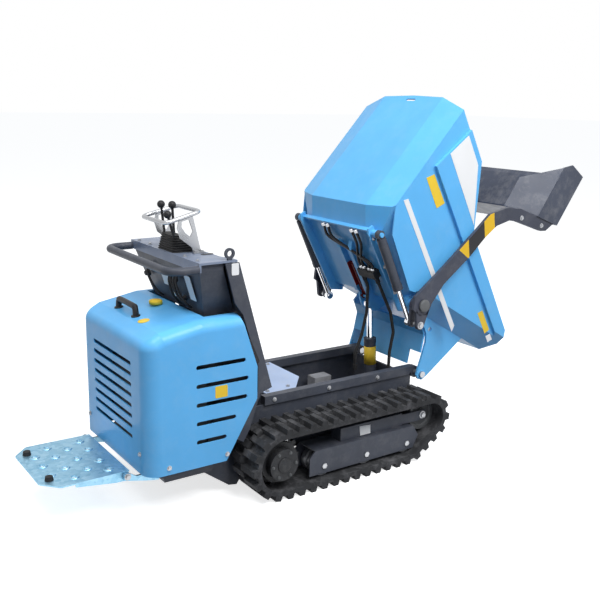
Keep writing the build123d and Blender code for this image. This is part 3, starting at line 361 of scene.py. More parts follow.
motorBlack = finish("motorBlack", paintLook["motorBlack"], rough=0.48, grain=220, grainDepth=0.25, shade=0.2,
                    dust=(0.14, 0.14, 0.14), dustAmount=0.35)
rollerSteel = finish("rollerSteel", (0.30, 0.31, 0.33), rough=0.42, metallic=0.6, grain=260, grainDepth=0.15,
                     shade=0.25, dust=(0.12, 0.12, 0.12), dustAmount=0.5)
# the well cover's colour is a painted reflection of the sky
coverSkyPaint = finish("coverSkyPaint", paintLook["coverSkyLilac"], rough=0.40, coat=0.06, grain=300, grainDepth=0.05,
                    shade=0.08, dust=(0.5, 0.5, 0.5), dustAmount=0.2)
propPaint = finish("propPaint", paintLook["propRed"], rough=0.42, coat=0.06, grain=300, grainDepth=0.06, shade=0.2)
trackRubber = finish("trackRubber", (0.030, 0.031, 0.034), rough=0.74, grain=240, grainDepth=0.35, shade=0.35,
                     dust=(0.17, 0.17, 0.18), dustAmount=0.55, patch=12)
softRubber = finish("softRubber", (0.018, 0.018, 0.019), rough=0.62, grain=500, grainDepth=0.15, shade=0.2)
blackPlastic = finish("blackPlastic", (0.017, 0.017, 0.019), rough=0.42, grain=700, grainDepth=0.12, shade=0.15)
castGrey = finish("castGrey", (0.11, 0.115, 0.12), rough=0.6, metallic=0.3, grain=160, grainDepth=0.5, shade=0.3)
castLight = finish("castLight", (0.66, 0.67, 0.70), rough=0.36, metallic=0.5, grain=160, grainDepth=0.5, shade=0.4,
                   dust=(0.20, 0.20, 0.20), dustAmount=0.4)
zincSteel = finish("zincSteel", (0.44, 0.45, 0.47), rough=0.34, metallic=0.9, grain=260, grainDepth=0.08, shade=0.12,
                   dust=(0.20, 0.20, 0.21), dustAmount=0.35)
satinSteel = finish("satinSteel", (0.44, 0.45, 0.47), rough=0.30, metallic=0.85, grain=380, grainDepth=0.05,
                    shade=0.08)
chromeRod = finish("chromeRod", (0.86, 0.87, 0.89), rough=0.10, metallic=1.0, grain=900, grainDepth=0.02, shade=0.03,
                   roughSpread=0.05)
labelYellow = finish("labelYellow", (0.88, 0.60, 0.05), rough=0.38, grain=500, grainDepth=0.03, shade=0.06)
labelWhite = finish("labelWhite", (0.86, 0.87, 0.88), rough=0.34, grain=500, grainDepth=0.03, shade=0.03)


# colours of the zinc: the two cell colours and the patch colour are tinted blue, a painted reflection of the sky on
# the zinc
zincLook = {"cells": 55.0, "dullSkyTinted": (0.20, 0.42, 0.58), "brightSkyTinted": (0.33, 0.57, 0.73), "stainSkyTinted": (0.36, 0.60, 0.76),
            "rough": (0.30, 0.48), "grain": 180, "grainDepth": 0.12, "metallic": 0.8}


# Zinc flowers: flat cells of slightly different brightness and gloss, under soft stained patches; all their colours
# are tinted blue as a painted reflection of the sky.
def galvanisedFinish():
    material, tree, shader = nodeTree("galvanisedSkyTinted")
    link = tree.links.new
    coords = addNode(tree, "ShaderNodeTexCoord")
    cells = addNode(tree, "ShaderNodeTexVoronoi")
    cells.inputs["Scale"].default_value = zincLook["cells"]
    link(coords.outputs["Object"], cells.inputs["Vector"])
    values = addNode(tree, "ShaderNodeSeparateColor")
    link(cells.outputs["Color"], values.inputs["Color"])
    flowers = rampNode(tree, values.outputs["Red"], [(0.0, zincLook["dullSkyTinted"]), (1.0, zincLook["brightSkyTinted"])])
    stainSkyTinted = noiseNode(tree, 9.0, 5.0, 0.6)
    mask = rampNode(tree, stainSkyTinted.outputs["Fac"], [(0.45, (0, 0, 0)), (0.75, (0.5, 0.5, 0.5))])
    link(mixNode(tree, mask, flowers, zincLook["stainSkyTinted"]), shader.inputs["Base Color"])
    smoothest, roughest = zincLook["rough"]
    link(rampNode(tree, values.outputs["Green"], [(0.0, (smoothest,) * 3), (1.0, (roughest,) * 3)]),
         shader.inputs["Roughness"])
    addGrain(tree, shader, noiseNode(tree, zincLook["grain"], 3.0), zincLook["grainDepth"])
    shader.inputs["Metallic"].default_value = zincLook["metallic"]
    return material


galvanisedSkyTinted = galvanisedFinish()

# warning stripes of the arms: edges are distances along the arm, slant is how far they lean across it,
# and outer is how far off the centre plane a face has to lie to carry them
armStripes = {"yellow": (0.80, 0.50, 0.03), "black": (0.02, 0.02, 0.022), "edges": (0.288, 0.397, 0.537, 0.627),
              "slant": -1.05, "outer": 0.3597}


# Dark paint with a yellow band from the first edge to the last, and a black one on it between the middle two.
def armFinish():
    material = finish("armPaint", paintLook["armGrey"], rough=0.44, coat=0.05, grain=300, grainDepth=0.10, shade=0.14,
                      dust=(0.2, 0.2, 0.21), dustAmount=0.25)
    tree = material.node_tree
    shader = tree.nodes["Principled BSDF"]
    base = shader.inputs["Base Color"].links[0].from_socket
    start, blackStart, blackEnd, end = armStripes["edges"]
    leaning = armAxes["x"] + armAxes["z"] * armStripes["slant"]
    reach = mathNode(tree, "SUBTRACT", alongNode(tree, leaning), float(armOrigin @ leaning))
    past = mathNode(tree, "GREATER_THAN", alongNode(tree, armAxes["x"]), float(armOrigin @ armAxes["x"]) + start)
    before = mathNode(tree, "LESS_THAN", reach, end)
    inner = mathNode(tree, "COMPARE", reach, (blackStart + blackEnd) / 2, (blackEnd - blackStart) / 2)
    width = mathNode(tree, "ABSOLUTE", alongNode(tree, machineAxes["y"]))
    outer = mathNode(tree, "GREATER_THAN", width, armStripes["outer"])
    yellow = mixNode(tree, mathNode(tree, "MULTIPLY", past, before), base, armStripes["yellow"])
    striped = mixNode(tree, inner, yellow, armStripes["black"])
    tree.links.new(mixNode(tree, outer, base, striped), shader.inputs["Base Color"])
    return material


armPaint = armFinish()

# each node of the part and its finish
nodeFinishes = {
    "skip_tub": bluePaint, "skip_subframe": bluePaint, "hood_shell": bluePaint, "hood_handle": blackPlastic,
    "chassis_frame": framePaint, "track_frame_right": framePaint, "track_frame_left": framePaint,
    "column_frame": framePaint, "console_box": framePaint, "console_top": topPaint, "grab_bar": framePaint,
    "lever_guard": satinSteel, "control_levers": blackPlastic, "lever_boots": softRubber,
    "lifting_eye": framePaint, "valve_block": castLight, "well_cover": coverSkyPaint,
    # the platform's zinc carries a blue tint that is a painted reflection of the sky
    "platform_brackets": galvanisedSkyTinted, "platform_plate": galvanisedSkyTinted, "platform_arms": galvanisedSkyTinted,
    "platform_buffers": softRubber,
    "safety_prop": propPaint, "arm_right": armPaint, "arm_left": armPaint, "shovel": shovelPaint,
    "tip_barrel": framePaint, "tip_rod": chromeRod, "lift_barrel_right": framePaint, "lift_barrel_left": framePaint,
    "lift_rod_right": chromeRod, "lift_rod_left": chromeRod, "track_right": trackRubber, "track_left": trackRubber,
    "bottom_rollers_right": rollerSteel, "bottom_rollers_left": rollerSteel, "idler_right": castGrey,
    "idler_left": castGrey, "sprocket_right": motorBlack, "sprocket_left": motorBlack, "hinge_pins": zincSteel,
    "engine_block": castGrey, "oil_hoses": softRubber,
}
for name, material in nodeFinishes.items():
    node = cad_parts[name]
    node.data.materials.clear()
    node.data.materials.append(material)
print("stage: finishes on the frame")


# Bolts of one kind as one piece; size is the head's radius and height.
def boltPiece(name, spots, size, body, axes=machineAxes, material=zincSteel):
    verts, faces = boltParts(spots, size[0], size[1], axes)
    return makePiece(name, verts, faces, material, body, smooth=False)


# The same places on each side, across off the centre plane and facing outwards.
def sideSpots(across, places):
    return [((x, side * across, z), (0, side, 0)) for x, z in places for side in (-1, 1)]


# Places on a level surface at one height, facing up.
def topSpots(height, places):
    return [((x, y, height), (0, 0, 1)) for x, y in places]


# One plate on each of the sides, between two distances off the centre plane.
def sidePlates(outline, near, far, axes, sides=(-1, 1)):
    parts = []
    for side in sides:
        low, high = sorted((side * near, side * far))
        parts.append(slab(outline, low, high, axes))
    return merged(parts)


# skip: stripe, blank panel and labels, lying on the side walls and the upper band
skipMarks = {"side": 0.320, "band": 0.335, "lift": 0.0004, "thick": 0.0008}
skipOutlines = {
    "skip_stripe": {"on": "side", "finish": labelWhite, "sides": (-1, 1),
                    "outline": [(-0.800, 0.182), (-0.792, 0.206), (-0.145, 0.206), (-0.128, 0.182)]},
    "skip_panel": {"on": "band", "finish": labelWhite, "sides": (-1,),
                   "outline": [(-0.852, 0.470), (-0.870, 0.592), (-0.730, 0.592), (-0.505, 0.470)]},
    "skip_label_rear": {"on": "side", "finish": labelYellow, "sides": (-1,),
                        "outline": [(-0.820, 0.326), (-0.812, 0.370), (-0.672, 0.372), (-0.676, 0.324)]},
    "skip_label_front": {"on": "side", "finish": labelYellow, "sides": (-1,),
                         "outline": [(-0.112, 0.348), (-0.106, 0.378), (0.004, 0.380), (0.004, 0.348)]},
    "skip_label_small": {"on": "side", "finish": labelWhite, "sides": (-1,),
                         "outline": [(0.020, 0.348), (0.024, 0.376), (0.058, 0.377), (0.054, 0.348)]},
}


# a mark is a thin plate of the outline's shape, once on each side that its row names
def skipMark(name, mark):
    near = skipMarks[mark["on"]] + skipMarks["lift"]
    verts, faces = sidePlates(mark["outline"], near, near + skipMarks["thick"], skipAxes, mark["sides"])
    return makePiece(name, verts, faces, mark["finish"], "skip", smooth=False)


for name, mark in skipOutlines.items():
    skipMark(name, mark)

# bolts that hold the skip's hinge brackets, and the caps on the ends of the arms' pivot shafts
skipBolts = {"size": (0.0075, 0.005), "face": 0.2482, "places": [(-0.700, 0.032), (-0.560, 0.032), (-0.430, 0.032)]}
boltPiece("subframe_bolts", sideSpots(skipBolts["face"], skipBolts["places"]), skipBolts["size"], "skip", skipAxes)
shaftCap = {"face": 0.3608, "sides": 28, "profile": [(0.0, 0.018), (0.0, 0.0262), (0.0085, 0.0262), (0.0105, 0.0240),
                                                     (0.0115, 0.0150), (0.0118, 0.002)]}
parts = [turned(shaftCap["profile"], armOrigin + np.array([0.0, side * shaftCap["face"], 0.0]), (0, side, 0),
                shaftCap["sides"]) for side in (-1, 1)]
verts, faces = merged(parts)
makePiece("shaft_caps", verts, faces, castGrey, "skip")

# black steel pipes and plated fittings on the junction block under the floor; runs are each pipe's two y
pipeLook = {"radius": 0.006, "height": 0.030, "frontX": -0.519, "bendX": (-0.560, -0.610, -0.655), "rearX": -0.712,
            "runs": [(-0.072, -0.110), (-0.092, -0.140), (-0.128, 0.060), (-0.148, 0.090)], "steps": 24, "sides": 10,
            "fittingX": -0.5185, "fitting": [(0, 0.003), (0, 0.0095), (0.013, 0.0095), (0.014, 0.008), (0.014, 0.003)]}
pipes, fittings = [], []
for startY, endY in pipeLook["runs"]:
    z = pipeLook["height"]
    firstX, middleX, lastX = pipeLook["bendX"]
    way = [(pipeLook["frontX"], startY, z), (firstX, startY, z), (middleX, (startY + endY) / 2, z), (lastX, endY, z),
           (pipeLook["rearX"], endY, z)]
    pipes.append(tubeAlong(place(smoothPath(way, pipeLook["steps"]), skipAxes), pipeLook["radius"], pipeLook["sides"]))
    for x, y in ((pipeLook["fittingX"], startY), (pipeLook["rearX"], endY)):
        fittings.append(turned(pipeLook["fitting"], place([(x, y, z)], skipAxes)[0], skipAxes["x"] * -1, 6))
verts, faces = merged(pipes)
makePiece("floor_pipes", verts, faces, blackPlastic, "skip")
verts, faces = merged(fittings)
makePiece("pipe_fittings", verts, faces, satinSteel, "skip", smooth=False)
print("stage: skip pieces")

# arms: lobe over the cylinder's pin, its bolt and spacer, and the bolts that hold the shovel
armLook = {"outer": 0.360, "plate": 0.015, "hub": 0.038, "hubRing": 0.0405, "lobe": 0.020, "lever": (-0.075, -0.040),
           "hubTurn": 0.55, "arcSteps": 14, "bevel": 0.0012, "boltFace": 0.3602, "pinBolt": (0.011, 0.006),
           "shovelBolt": (0.0075, 0.005), "shovelPlaces": [(0.598, -0.262), (0.642, -0.398)], "spacerFoot": 0.313,
           "spacer": [(0, 0.002), (0, 0.0115), (0.032, 0.0115), (0.032, 0.002)], "spacerSides": 20}
leverX, leverZ = armLook["lever"]
lean = math.atan2(leverZ, leverX)
openAngle = math.acos((armLook["hub"] - armLook["lobe"]) / math.hypot(leverX, leverZ))
farArc = np.linspace(lean + openAngle, lean - openAngle, armLook["arcSteps"])
hubArc = (lean - openAngle, lean - armLook["hubTurn"], lean, lean + armLook["hubTurn"], lean + openAngle)
lobeOutline = [(leverX + armLook["lobe"] * math.cos(a), leverZ + armLook["lobe"] * math.sin(a)) for a in farArc]
lobeOutline += [(armLook["hubRing"] * math.cos(a), armLook["hubRing"] * math.sin(a)) for a in hubArc]
verts, faces = sidePlates(lobeOutline, armLook["outer"] - armLook["plate"], armLook["outer"], armAxes)
bevelled(makePiece("arm_lobes", verts, faces, armPaint, "shovel", smooth=False), armLook["bevel"])
boltPiece("lever_pin_bolts", sideSpots(armLook["boltFace"], [armLook["lever"]]), armLook["pinBolt"], "shovel", armAxes)
boltPiece("shovel_bolts", sideSpots(armLook["boltFace"], armLook["shovelPlaces"]), armLook["shovelBolt"], "shovel",
          armAxes)
parts = [turned(armLook["spacer"], place([(leverX, side * armLook["spacerFoot"], leverZ)], armAxes)[0], (0, side, 0),
                armLook["spacerSides"]) for side in (-1, 1)]
verts, faces = merged(parts)
makePiece("lever_spacers", verts, faces, zincSteel, "shovel")

# a blank yellow band round the tipping cylinder's barrel, along the barrel from its lower pin
bandLook = {"foot": (0.335, 0.0, 0.230), "axis": (-0.055012, 0.0, 0.998486), "sides": 40,
            "profile": [(0.104, 0.0272), (0.104, 0.0278), (0.190, 0.0278), (0.190, 0.0272)]}
verts, faces = turned(bandLook["profile"], bandLook["foot"], bandLook["axis"], bandLook["sides"], hollow=True)
makePiece("barrel_label", verts, faces, labelYellow, "tip_barrel")
print("stage: arm pieces")

# hood: blank label, bolts, filler cap and latches
hoodLook = {"side": 0.3052, "rear": -0.9252, "label": roundedBox(0.052, 0.046, 0.005, (-0.625, 0.465)),
            "labelThick": 0.0008, "rearBolts": [(-0.242, 0.262), (0.242, 0.262)],
            "sideBolts": [(-0.600, 0.212), (-0.840, 0.212)], "bolt": (0.0065, 0.0045)}
verts, faces = sidePlates(hoodLook["label"], hoodLook["side"], hoodLook["side"] + hoodLook["labelThick"], machineAxes,
                          (-1,))
makePiece("hood_labels", verts, faces, labelYellow, "hood", smooth=False)
spots = [((hoodLook["rear"], y, z), (-1, 0, 0)) for y, z in hoodLook["rearBolts"]]
spots += sideSpots(hoodLook["side"], hoodLook["sideBolts"])
boltPiece("hood_bolts", spots, hoodLook["bolt"], "hood")
capLook = {"spot": (-0.729, 0.024, 0.7408), "sides": 32,
           "profile": [(0, 0.004), (0, 0.026), (0.012, 0.026), (0.015, 0.023), (0.016, 0.014), (0.016, 0.004)]}
verts, faces = turned(capLook["profile"], capLook["spot"], (0, 0, 1), capLook["sides"])
makePiece("filler_cap", verts, faces, labelYellow, "hood")
latchLook = {"near": 0.2952, "far": 0.3005, "bevel": 0.001,
             "outline": [(-0.506, 0.642), (-0.498, 0.646), (-0.458, 0.556), (-0.460, 0.546), (-0.470, 0.545)]}
verts, faces = sidePlates(latchLook["outline"], latchLook["near"], latchLook["far"], machineAxes)
bevelled(makePiece("hood_latches", verts, faces, blackPlastic, "chassis", smooth=False),
         latchLook["bevel"])
print("stage: hood pieces")

# lifting handle of the hood, a bent round bar on two feet, and a small blank disc beside it; bendShare is how
# much of the bend's radius its middle point lies inside the corner
handleLook = {"x": -0.835, "low": 0.7155, "high": 0.752, "near": -0.028, "far": 0.132, "bend": 0.020,
              "bendShare": 0.29, "radius": 0.0115, "steps": 50, "sides": 16, "up": (-0.178, 0, 0.984),
              "footHigh": 0.7162, "footSides": 24, "foot": [(0, 0.004), (0, 0.018), (0.004, 0.017), (0.005, 0.012),
                                                            (0.005, 0.004)],
              "discSpot": (-0.838, -0.105, 0.7165), "discSides": 32,
              "disc": [(0, 0.002), (0, 0.022), (0.0008, 0.022), (0.0008, 0.002)]}
h = handleLook
bend, cut = h["bend"], h["bend"] * h["bendShare"]
way = [(h["x"], y, z) for y, z in (
    (h["near"], h["low"]), (h["near"], h["high"] - bend), (h["near"] + cut, h["high"] - cut),
    (h["near"] + bend, h["high"]), (h["far"] - bend, h["high"]), (h["far"] - cut, h["high"] - cut),
    (h["far"], h["high"] - bend), (h["far"], h["low"]))]
verts, faces = tubeAlong(smoothPath(way, h["steps"]), h["radius"], h["sides"])
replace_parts(makePiece("handle_bar", verts, faces, blackPlastic, "hood"), "hood_handle")
parts = [turned(h["foot"], (h["x"], y, h["footHigh"]), h["up"], h["footSides"]) for y in (h["near"], h["far"])]
verts, faces = merged(parts)
makePiece("handle_feet", verts, faces, blackPlastic, "hood")
verts, faces = turned(h["disc"], h["discSpot"], h["up"], h["discSides"])
makePiece("hood_disc", verts, faces, labelYellow, "hood", smooth=False)

# console: its sloping rear face has blank labels, knobs and cables; labels are y, z, width and height on the
# face, knobs y, z and radius, and cables the y at the top and at the bottom
consoleAxes = localFrame((-0.678, 0.0, 0.825), math.atan2(0.180, -0.055) - math.pi / 2)
consoleLook = {"face": -0.0016, "labelThick": 0.0010, "labelCorner": 0.003,
               "labels": [(0.025, 0.012, 0.062, 0.056), (-0.030, -0.034, 0.034, 0.040), (-0.176, 0.012, 0.046, 0.100)],
               "knobs": [(0.180, 0.010, 0.016), (-0.078, 0.030, 0.012), (-0.110, -0.040, 0.012)], "knobSides": 24,
               "knobHigh": (0.004, 0.006, 0.018, 0.020), "knobShares": (1, 0.7, 0.62, 0.5), "knobCore": 0.2,
               "cables": [(-0.066, -0.121), (-0.090, -0.100), (-0.108, -0.140), (-0.050, -0.060), (0.140, 0.100)],
               "cableX": (-0.002, -0.022, -0.026, -0.018, -0.004), "cableZ": (0.060, 0.030, -0.020, -0.055, -0.075),
               "cableRadius": 0.0045, "cableSteps": 24, "cableSides": 10}
c = consoleLook
parts = []
for y, z, wide, high in c["labels"]:
    outline = roundedBox(wide, high, c["labelCorner"], (y, z))
    parts.append(slab(outline, c["face"] - c["labelThick"], c["face"], consoleAxes, across="x"))
verts, faces = merged(parts)
makePiece("console_labels", verts, faces, labelWhite, "chassis", smooth=False)
parts = []
for y, z, radius in c["knobs"]:
    profile = [(0, radius * c["knobCore"]), (0, radius)]
    profile += [(high, radius * share) for high, share in zip(c["knobHigh"], c["knobShares"])]
    profile += [(c["knobHigh"][-1], radius * c["knobCore"])]
    parts.append(turned(profile, place([(c["face"], y, z)], consoleAxes)[0], consoleAxes["x"] * -1, c["knobSides"]))
verts, faces = merged(parts)
makePiece("console_knobs", verts, faces, blackPlastic, "chassis")
parts = []
for startY, endY in c["cables"]:
    ways = (startY, startY, (startY + endY) / 2, endY, endY)
    way = smoothPath(list(zip(c["cableX"], ways, c["cableZ"])), c["cableSteps"])
    parts.append(tubeAlong(place(way, consoleAxes), c["cableRadius"], c["cableSides"]))
verts, faces = merged(parts)
makePiece("console_conduits", verts, faces, softRubber, "chassis")

# on the tower: a blank tag on its right side, and a grommet and screws on the console's top
towerLook = {"tag": roundedBox(0.030, 0.044, 0.004, (-0.562, 0.916)), "tagFrom": -0.2966, "tagTo": -0.2956,
             "top": 0.9502, "grommet": roundedBox(0.050, 0.024, 0.011, (-0.596, -0.146)), "grommetHigh": 0.9512,
             "screws": [(-0.690, 0.250), (-0.690, -0.250), (-0.575, 0.230), (-0.690, 0.150), (-0.690, -0.150)],
             "screw": (0.0055, 0.004)}
verts, faces = slab(towerLook["tag"], towerLook["tagFrom"], towerLook["tagTo"], machineAxes)
makePiece("tower_label", verts, faces, labelWhite, "chassis", smooth=False)
verts, faces = slab(towerLook["grommet"], towerLook["top"], towerLook["grommetHigh"], machineAxes, across="z")
makePiece("console_grommet", verts, faces, blackPlastic, "chassis", smooth=False)
boltPiece("console_screws", topSpots(towerLook["top"], towerLook["screws"]), towerLook["screw"], "chassis")
print("stage: console pieces")

# undercarriage: axle bolts, idler bolts, the drive motors' ring bolts and covers, and a blank white plate
underLook = {"axles": [(-0.183, 0.084), (0.034, 0.084), (0.254, 0.084)], "axleFace": 0.3524,
             "axleBolt": (0.0125, 0.008), "idler": (0.362, 0.184), "idlerBolt": (0.012, 0.008), "beamFace": 0.3322,
             "motor": (-0.391, 0.145), "ringFace": 0.3184, "ringRadius": 0.0873, "ringCount": 9, "ringStart": 0.3,
             "ringBolt": (0.0036, 0.005), "coverFace": 0.3822, "coverRadius": 0.052, "coverCount": 6,
             "coverBolt": (0.0048, 0.004), "capSides": 36,
             "cap": [(0, 0.010), (0, 0.030), (0.003, 0.030), (0.005, 0.027), (0.005, 0.010)],
             "plate": [(0.011, 0.204), (0.069, 0.199), (0.071, 0.161), (0.017, 0.161)], "plateThick": 0.0010}
u = underLook
motorX, motorZ = u["motor"]


# Places evenly round the motor's axis: count of them at one radius, the first one turned by start.
def motorPlaces(radius, count, start=0.0):
    turns = np.arange(count) * 2 * math.pi / count + start
    return [(motorX + radius * math.cos(a), motorZ + radius * math.sin(a)) for a in turns]


boltPiece("axle_bolts", sideSpots(u["axleFace"], u["axles"]), u["axleBolt"], "chassis")
boltPiece("idler_bolts", sideSpots(u["beamFace"], [u["idler"]]), u["idlerBolt"], "chassis")
boltPiece("ring_bolts", sideSpots(u["ringFace"], motorPlaces(u["ringRadius"], u["ringCount"], u["ringStart"])),
          u["ringBolt"], "chassis")
boltPiece("cover_bolts", sideSpots(u["coverFace"], motorPlaces(u["coverRadius"], u["coverCount"])), u["coverBolt"],
          "chassis", material=castGrey)
parts = [turned(u["cap"], (motorX, side * u["coverFace"], motorZ), (0, side, 0), u["capSides"]) for side in (-1, 1)]
verts, faces = merged(parts)
makePiece("motor_caps", verts, faces, motorBlack, "chassis")
verts, faces = sidePlates(u["plate"], u["beamFace"], u["beamFace"] + u["plateThick"], machineAxes, (-1,))
makePiece("beam_plates", verts, faces, labelWhite, "chassis", smooth=False)

# chassis: rail bolts, the cover's screws and the valve's fittings; platform: hinge bolts
chassisLook = {"railFace": 0.2104, "rail": [(-0.330, 0.348), (-0.060, 0.348), (0.200, 0.348)],
               "railBolt": (0.0065, 0.0045), "coverTop": 0.3632,
               "cover": [(-0.325, -0.150), (-0.325, 0.150), (-0.135, 0.150), (-0.220, -0.140)],
               "coverScrew": (0.006, 0.004), "valveX": (0.095, 0.131, 0.167, 0.203), "valveY": -0.118,
               "valveTop": 0.2502, "fitting": [(0, 0.004), (0, 0.0115), (0.012, 0.0115), (0.013, 0.009),
                                               (0.022, 0.009), (0.022, 0.004)],
               "hinge": (-0.963, 0.173), "hingeFace": 0.2155, "hingeBolt": (0.009, 0.006)}
b = chassisLook
boltPiece("rail_bolts", sideSpots(b["railFace"], b["rail"]), b["railBolt"], "chassis")
boltPiece("cover_screws", topSpots(b["coverTop"], b["cover"]), b["coverScrew"], "chassis")
parts = [turned(b["fitting"], (x, b["valveY"], b["valveTop"]), (0, 0, 1), 6) for x in b["valveX"]]
verts, faces = merged(parts)
makePiece("valve_fittings", verts, faces, satinSteel, "chassis", smooth=False)
boltPiece("platform_bolts", sideSpots(b["hingeFace"], [b["hinge"]]), b["hingeBolt"], "chassis")
print("stage: undercarriage pieces")

# lever guard: a ring of bar on two cheeks with a window each, which has as many points as the cheek
guardLook = {"radius": 0.008, "rear": (-0.742, 0.104, 1.069), "front": (-0.597, 0.096, 1.104), "corner": 0.024,
             "cheek": [(-0.686, 1.083), (-0.632, 1.096), (-0.600, 0.965), (-0.593, 0.9502), (-0.628, 0.9502),
                       (-0.636, 0.972), (-0.682, 1.007), (-0.695, 1.046)],
             "window": [(-0.676, 1.070), (-0.647, 1.078), (-0.6316, 1.034), (-0.632, 1.030), (-0.6408, 1.0144),
                        (-0.642, 1.012), (-0.662, 1.028), (-0.677, 1.050)],
             "inner": 0.096, "thick": 0.005,
             "footX": (-0.636, -0.588), "footY": (0.1012, 0.122), "footZ": (0.9502, 0.9542),
             "boltX": (-0.626, -0.598), "boltY": 0.112, "boltTop": 0.9543, "bolt": (0.005, 0.0035)}


# Closed loop with its corners cut off and rounded: each is a quadratic curve from one side to the next.
def roundedLoop(corners, cut, steps=7):
    points = np.asarray(corners, float)
    before = np.roll(points, 1, axis=0) - points
    after = np.roll(points, -1, axis=0) - points
    before = points + before / np.linalg.norm(before, axis=1, keepdims=True) * cut
    after = points + after / np.linalg.norm(after, axis=1, keepdims=True) * cut
    t = np.linspace(0, 1, steps)[None, :, None]
    bend = before[:, None] * (1 - t) ** 2 + 2 * points[:, None] * t * (1 - t) + after[:, None] * t ** 2
    return bend.reshape(-1, 3)


# Closed tube round a loop of points: a circle carried round, with the world's up as its guide.
def loopTube(path, radius, sides=14):
    tangent = np.roll(path, -1, axis=0) - np.roll(path, 1, axis=0)
    tangent /= np.linalg.norm(tangent, axis=1, keepdims=True)
    side = np.cross(tangent, np.array([0.0, 0.0, 1.0]))
    side /= np.linalg.norm(side, axis=1, keepdims=True)
    other = np.cross(side, tangent)
    turn = np.linspace(0, 2 * math.pi, sides, endpoint=False)[None, :, None]
    verts = path[:, None] + radius * (np.cos(turn) * side[:, None] + np.sin(turn) * other[:, None])
    faces = gridFaces(len(path), sides, wrapRows=True, wrapCols=True)
    return verts.reshape(-1, 3), [f[::-1] for f in faces]


# Plate with a window: outline and window have as many points each, and the faces run between the two.
def windowPlate(outline, window, low, high):
    outline, window = np.asarray(outline, float), np.asarray(window, float)
    n = len(outline)
    rings = [np.stack([ring[:, 0], np.full(n, level), ring[:, 1]], 1)
             for level in (low, high) for ring in (outline, window)]
    verts = np.vstack(rings)
    i = np.arange(n)
    j = (i + 1) % n
    lower = np.stack([i, j, n + j, n + i], 1)
    upper = np.stack([2 * n + i, 3 * n + i, 3 * n + j, 2 * n + j], 1)
    outside = np.stack([i, 2 * n + i, 2 * n + j, j], 1)
    inside = np.stack([n + i, n + j, 3 * n + j, 3 * n + i], 1)
    faces = np.vstack([lower, upper, outside, inside])
    x, z = outline[:, 0], outline[:, 1]
    if np.sum(x * np.roll(z, -1) - np.roll(x, -1) * z) < 0:
        faces = faces[:, ::-1]
    return verts, faces.tolist()


g = guardLook
rearX, rearY, rearZ = g["rear"]
frontX, frontY, frontZ = g["front"]
ring = [(rearX, -rearY, rearZ), (frontX, -frontY, frontZ), (frontX, frontY, frontZ), (rearX, rearY, rearZ)]
parts = [loopTube(roundedLoop(ring, g["corner"]), g["radius"])]
(footRear, footFront), (footIn, footOut) = g["footX"], g["footY"]
for side in (-1, 1):
    low, high = sorted((side * g["inner"], side * (g["inner"] + g["thick"])))
    parts.append(windowPlate(g["cheek"], g["window"], low, high))
    foot = [(footRear, side * footIn), (footFront, side * footIn), (footFront, side * footOut),
            (footRear, side * footOut)]
    parts.append(slab(foot, *g["footZ"], machineAxes, across="z"))
verts, faces = merged(parts)
guard = makePiece("guard_ring", verts, faces, satinSteel, "chassis", smooth=False)
ringFaces = len(parts[0][1])
guard.data.polygons.foreach_set("use_smooth", [i < ringFaces for i in range(len(guard.data.polygons))])
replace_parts(guard, "lever_guard")
spots = topSpots(g["boltTop"], [(x, side * g["boltY"]) for x in g["boltX"] for side in (-1, 1)])
boltPiece("guard_bolts", spots, g["bolt"], "chassis")

# pleated bellows round the levers' feet: the rounded section narrows upwards, in and out at each pleat;
# low and high are its middle x, its length and its width at the foot and at the top
boots = {"low": (-0.648, 0.100, 0.150), "high": (-0.668, 0.044, 0.116), "foot": 0.9502, "top": 1.0120, "pleats": 7,
         "depth": 0.0035, "corner": 0.016}
levels = np.linspace(0, 1, boots["pleats"] * 2 + 1)
ringPoints = []
for k, share in enumerate(levels):
    x, long, wide = [a + (b - a) * share for a, b in zip(boots["low"], boots["high"])]
    pull = boots["depth"] if k % 2 else 0.0
    outline = roundedBox(long - 2 * pull, wide - 2 * pull, boots["corner"], (x, 0.0))
    height = boots["foot"] + share * (boots["top"] - boots["foot"])
    ringPoints.append(np.column_stack([outline, np.full(len(outline), height)]))
around = len(ringPoints[0])
verts = np.vstack(ringPoints)
faces = gridFaces(len(ringPoints), around, wrapCols=True)
faces += [list(range(around))[::-1], [(len(ringPoints) - 1) * around + i for i in range(around)]]
bellows = makePiece("lever_bellows", verts, faces, softRubber, "chassis", smooth=False)
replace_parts(bellows, "lever_boots")

# blue plate between the skip's hinge brackets, down between the rails
apronLook = {"outline": [(-0.090, 0.044), (-0.084, 0.050), (-0.030, 0.006), (-0.036, 0.000)], "half": 0.166}
verts, faces = slab(apronLook["outline"], -apronLook["half"], apronLook["half"], skipAxes)
makePiece("hinge_apron", verts, faces, bluePaint, "skip", smooth=False)

# three pipes behind the valve, arched a little; way holds their y and z
valvePipes = {"x": (0.100, 0.124, 0.148), "way": [(-0.084, 0.170), (-0.040, 0.178), (0.030, 0.178), (0.091, 0.170)],
              "steps": 16, "radius": 0.0055, "sides": 8}
parts = [tubeAlong(smoothPath([(x, y, z) for y, z in valvePipes["way"]], valvePipes["steps"]), valvePipes["radius"],
                   valvePipes["sides"]) for x in valvePipes["x"]]
verts, faces = merged(parts)
makePiece("valve_pipes", verts, faces, blackPlastic, "chassis")
print("stage: guard, bellows and well")

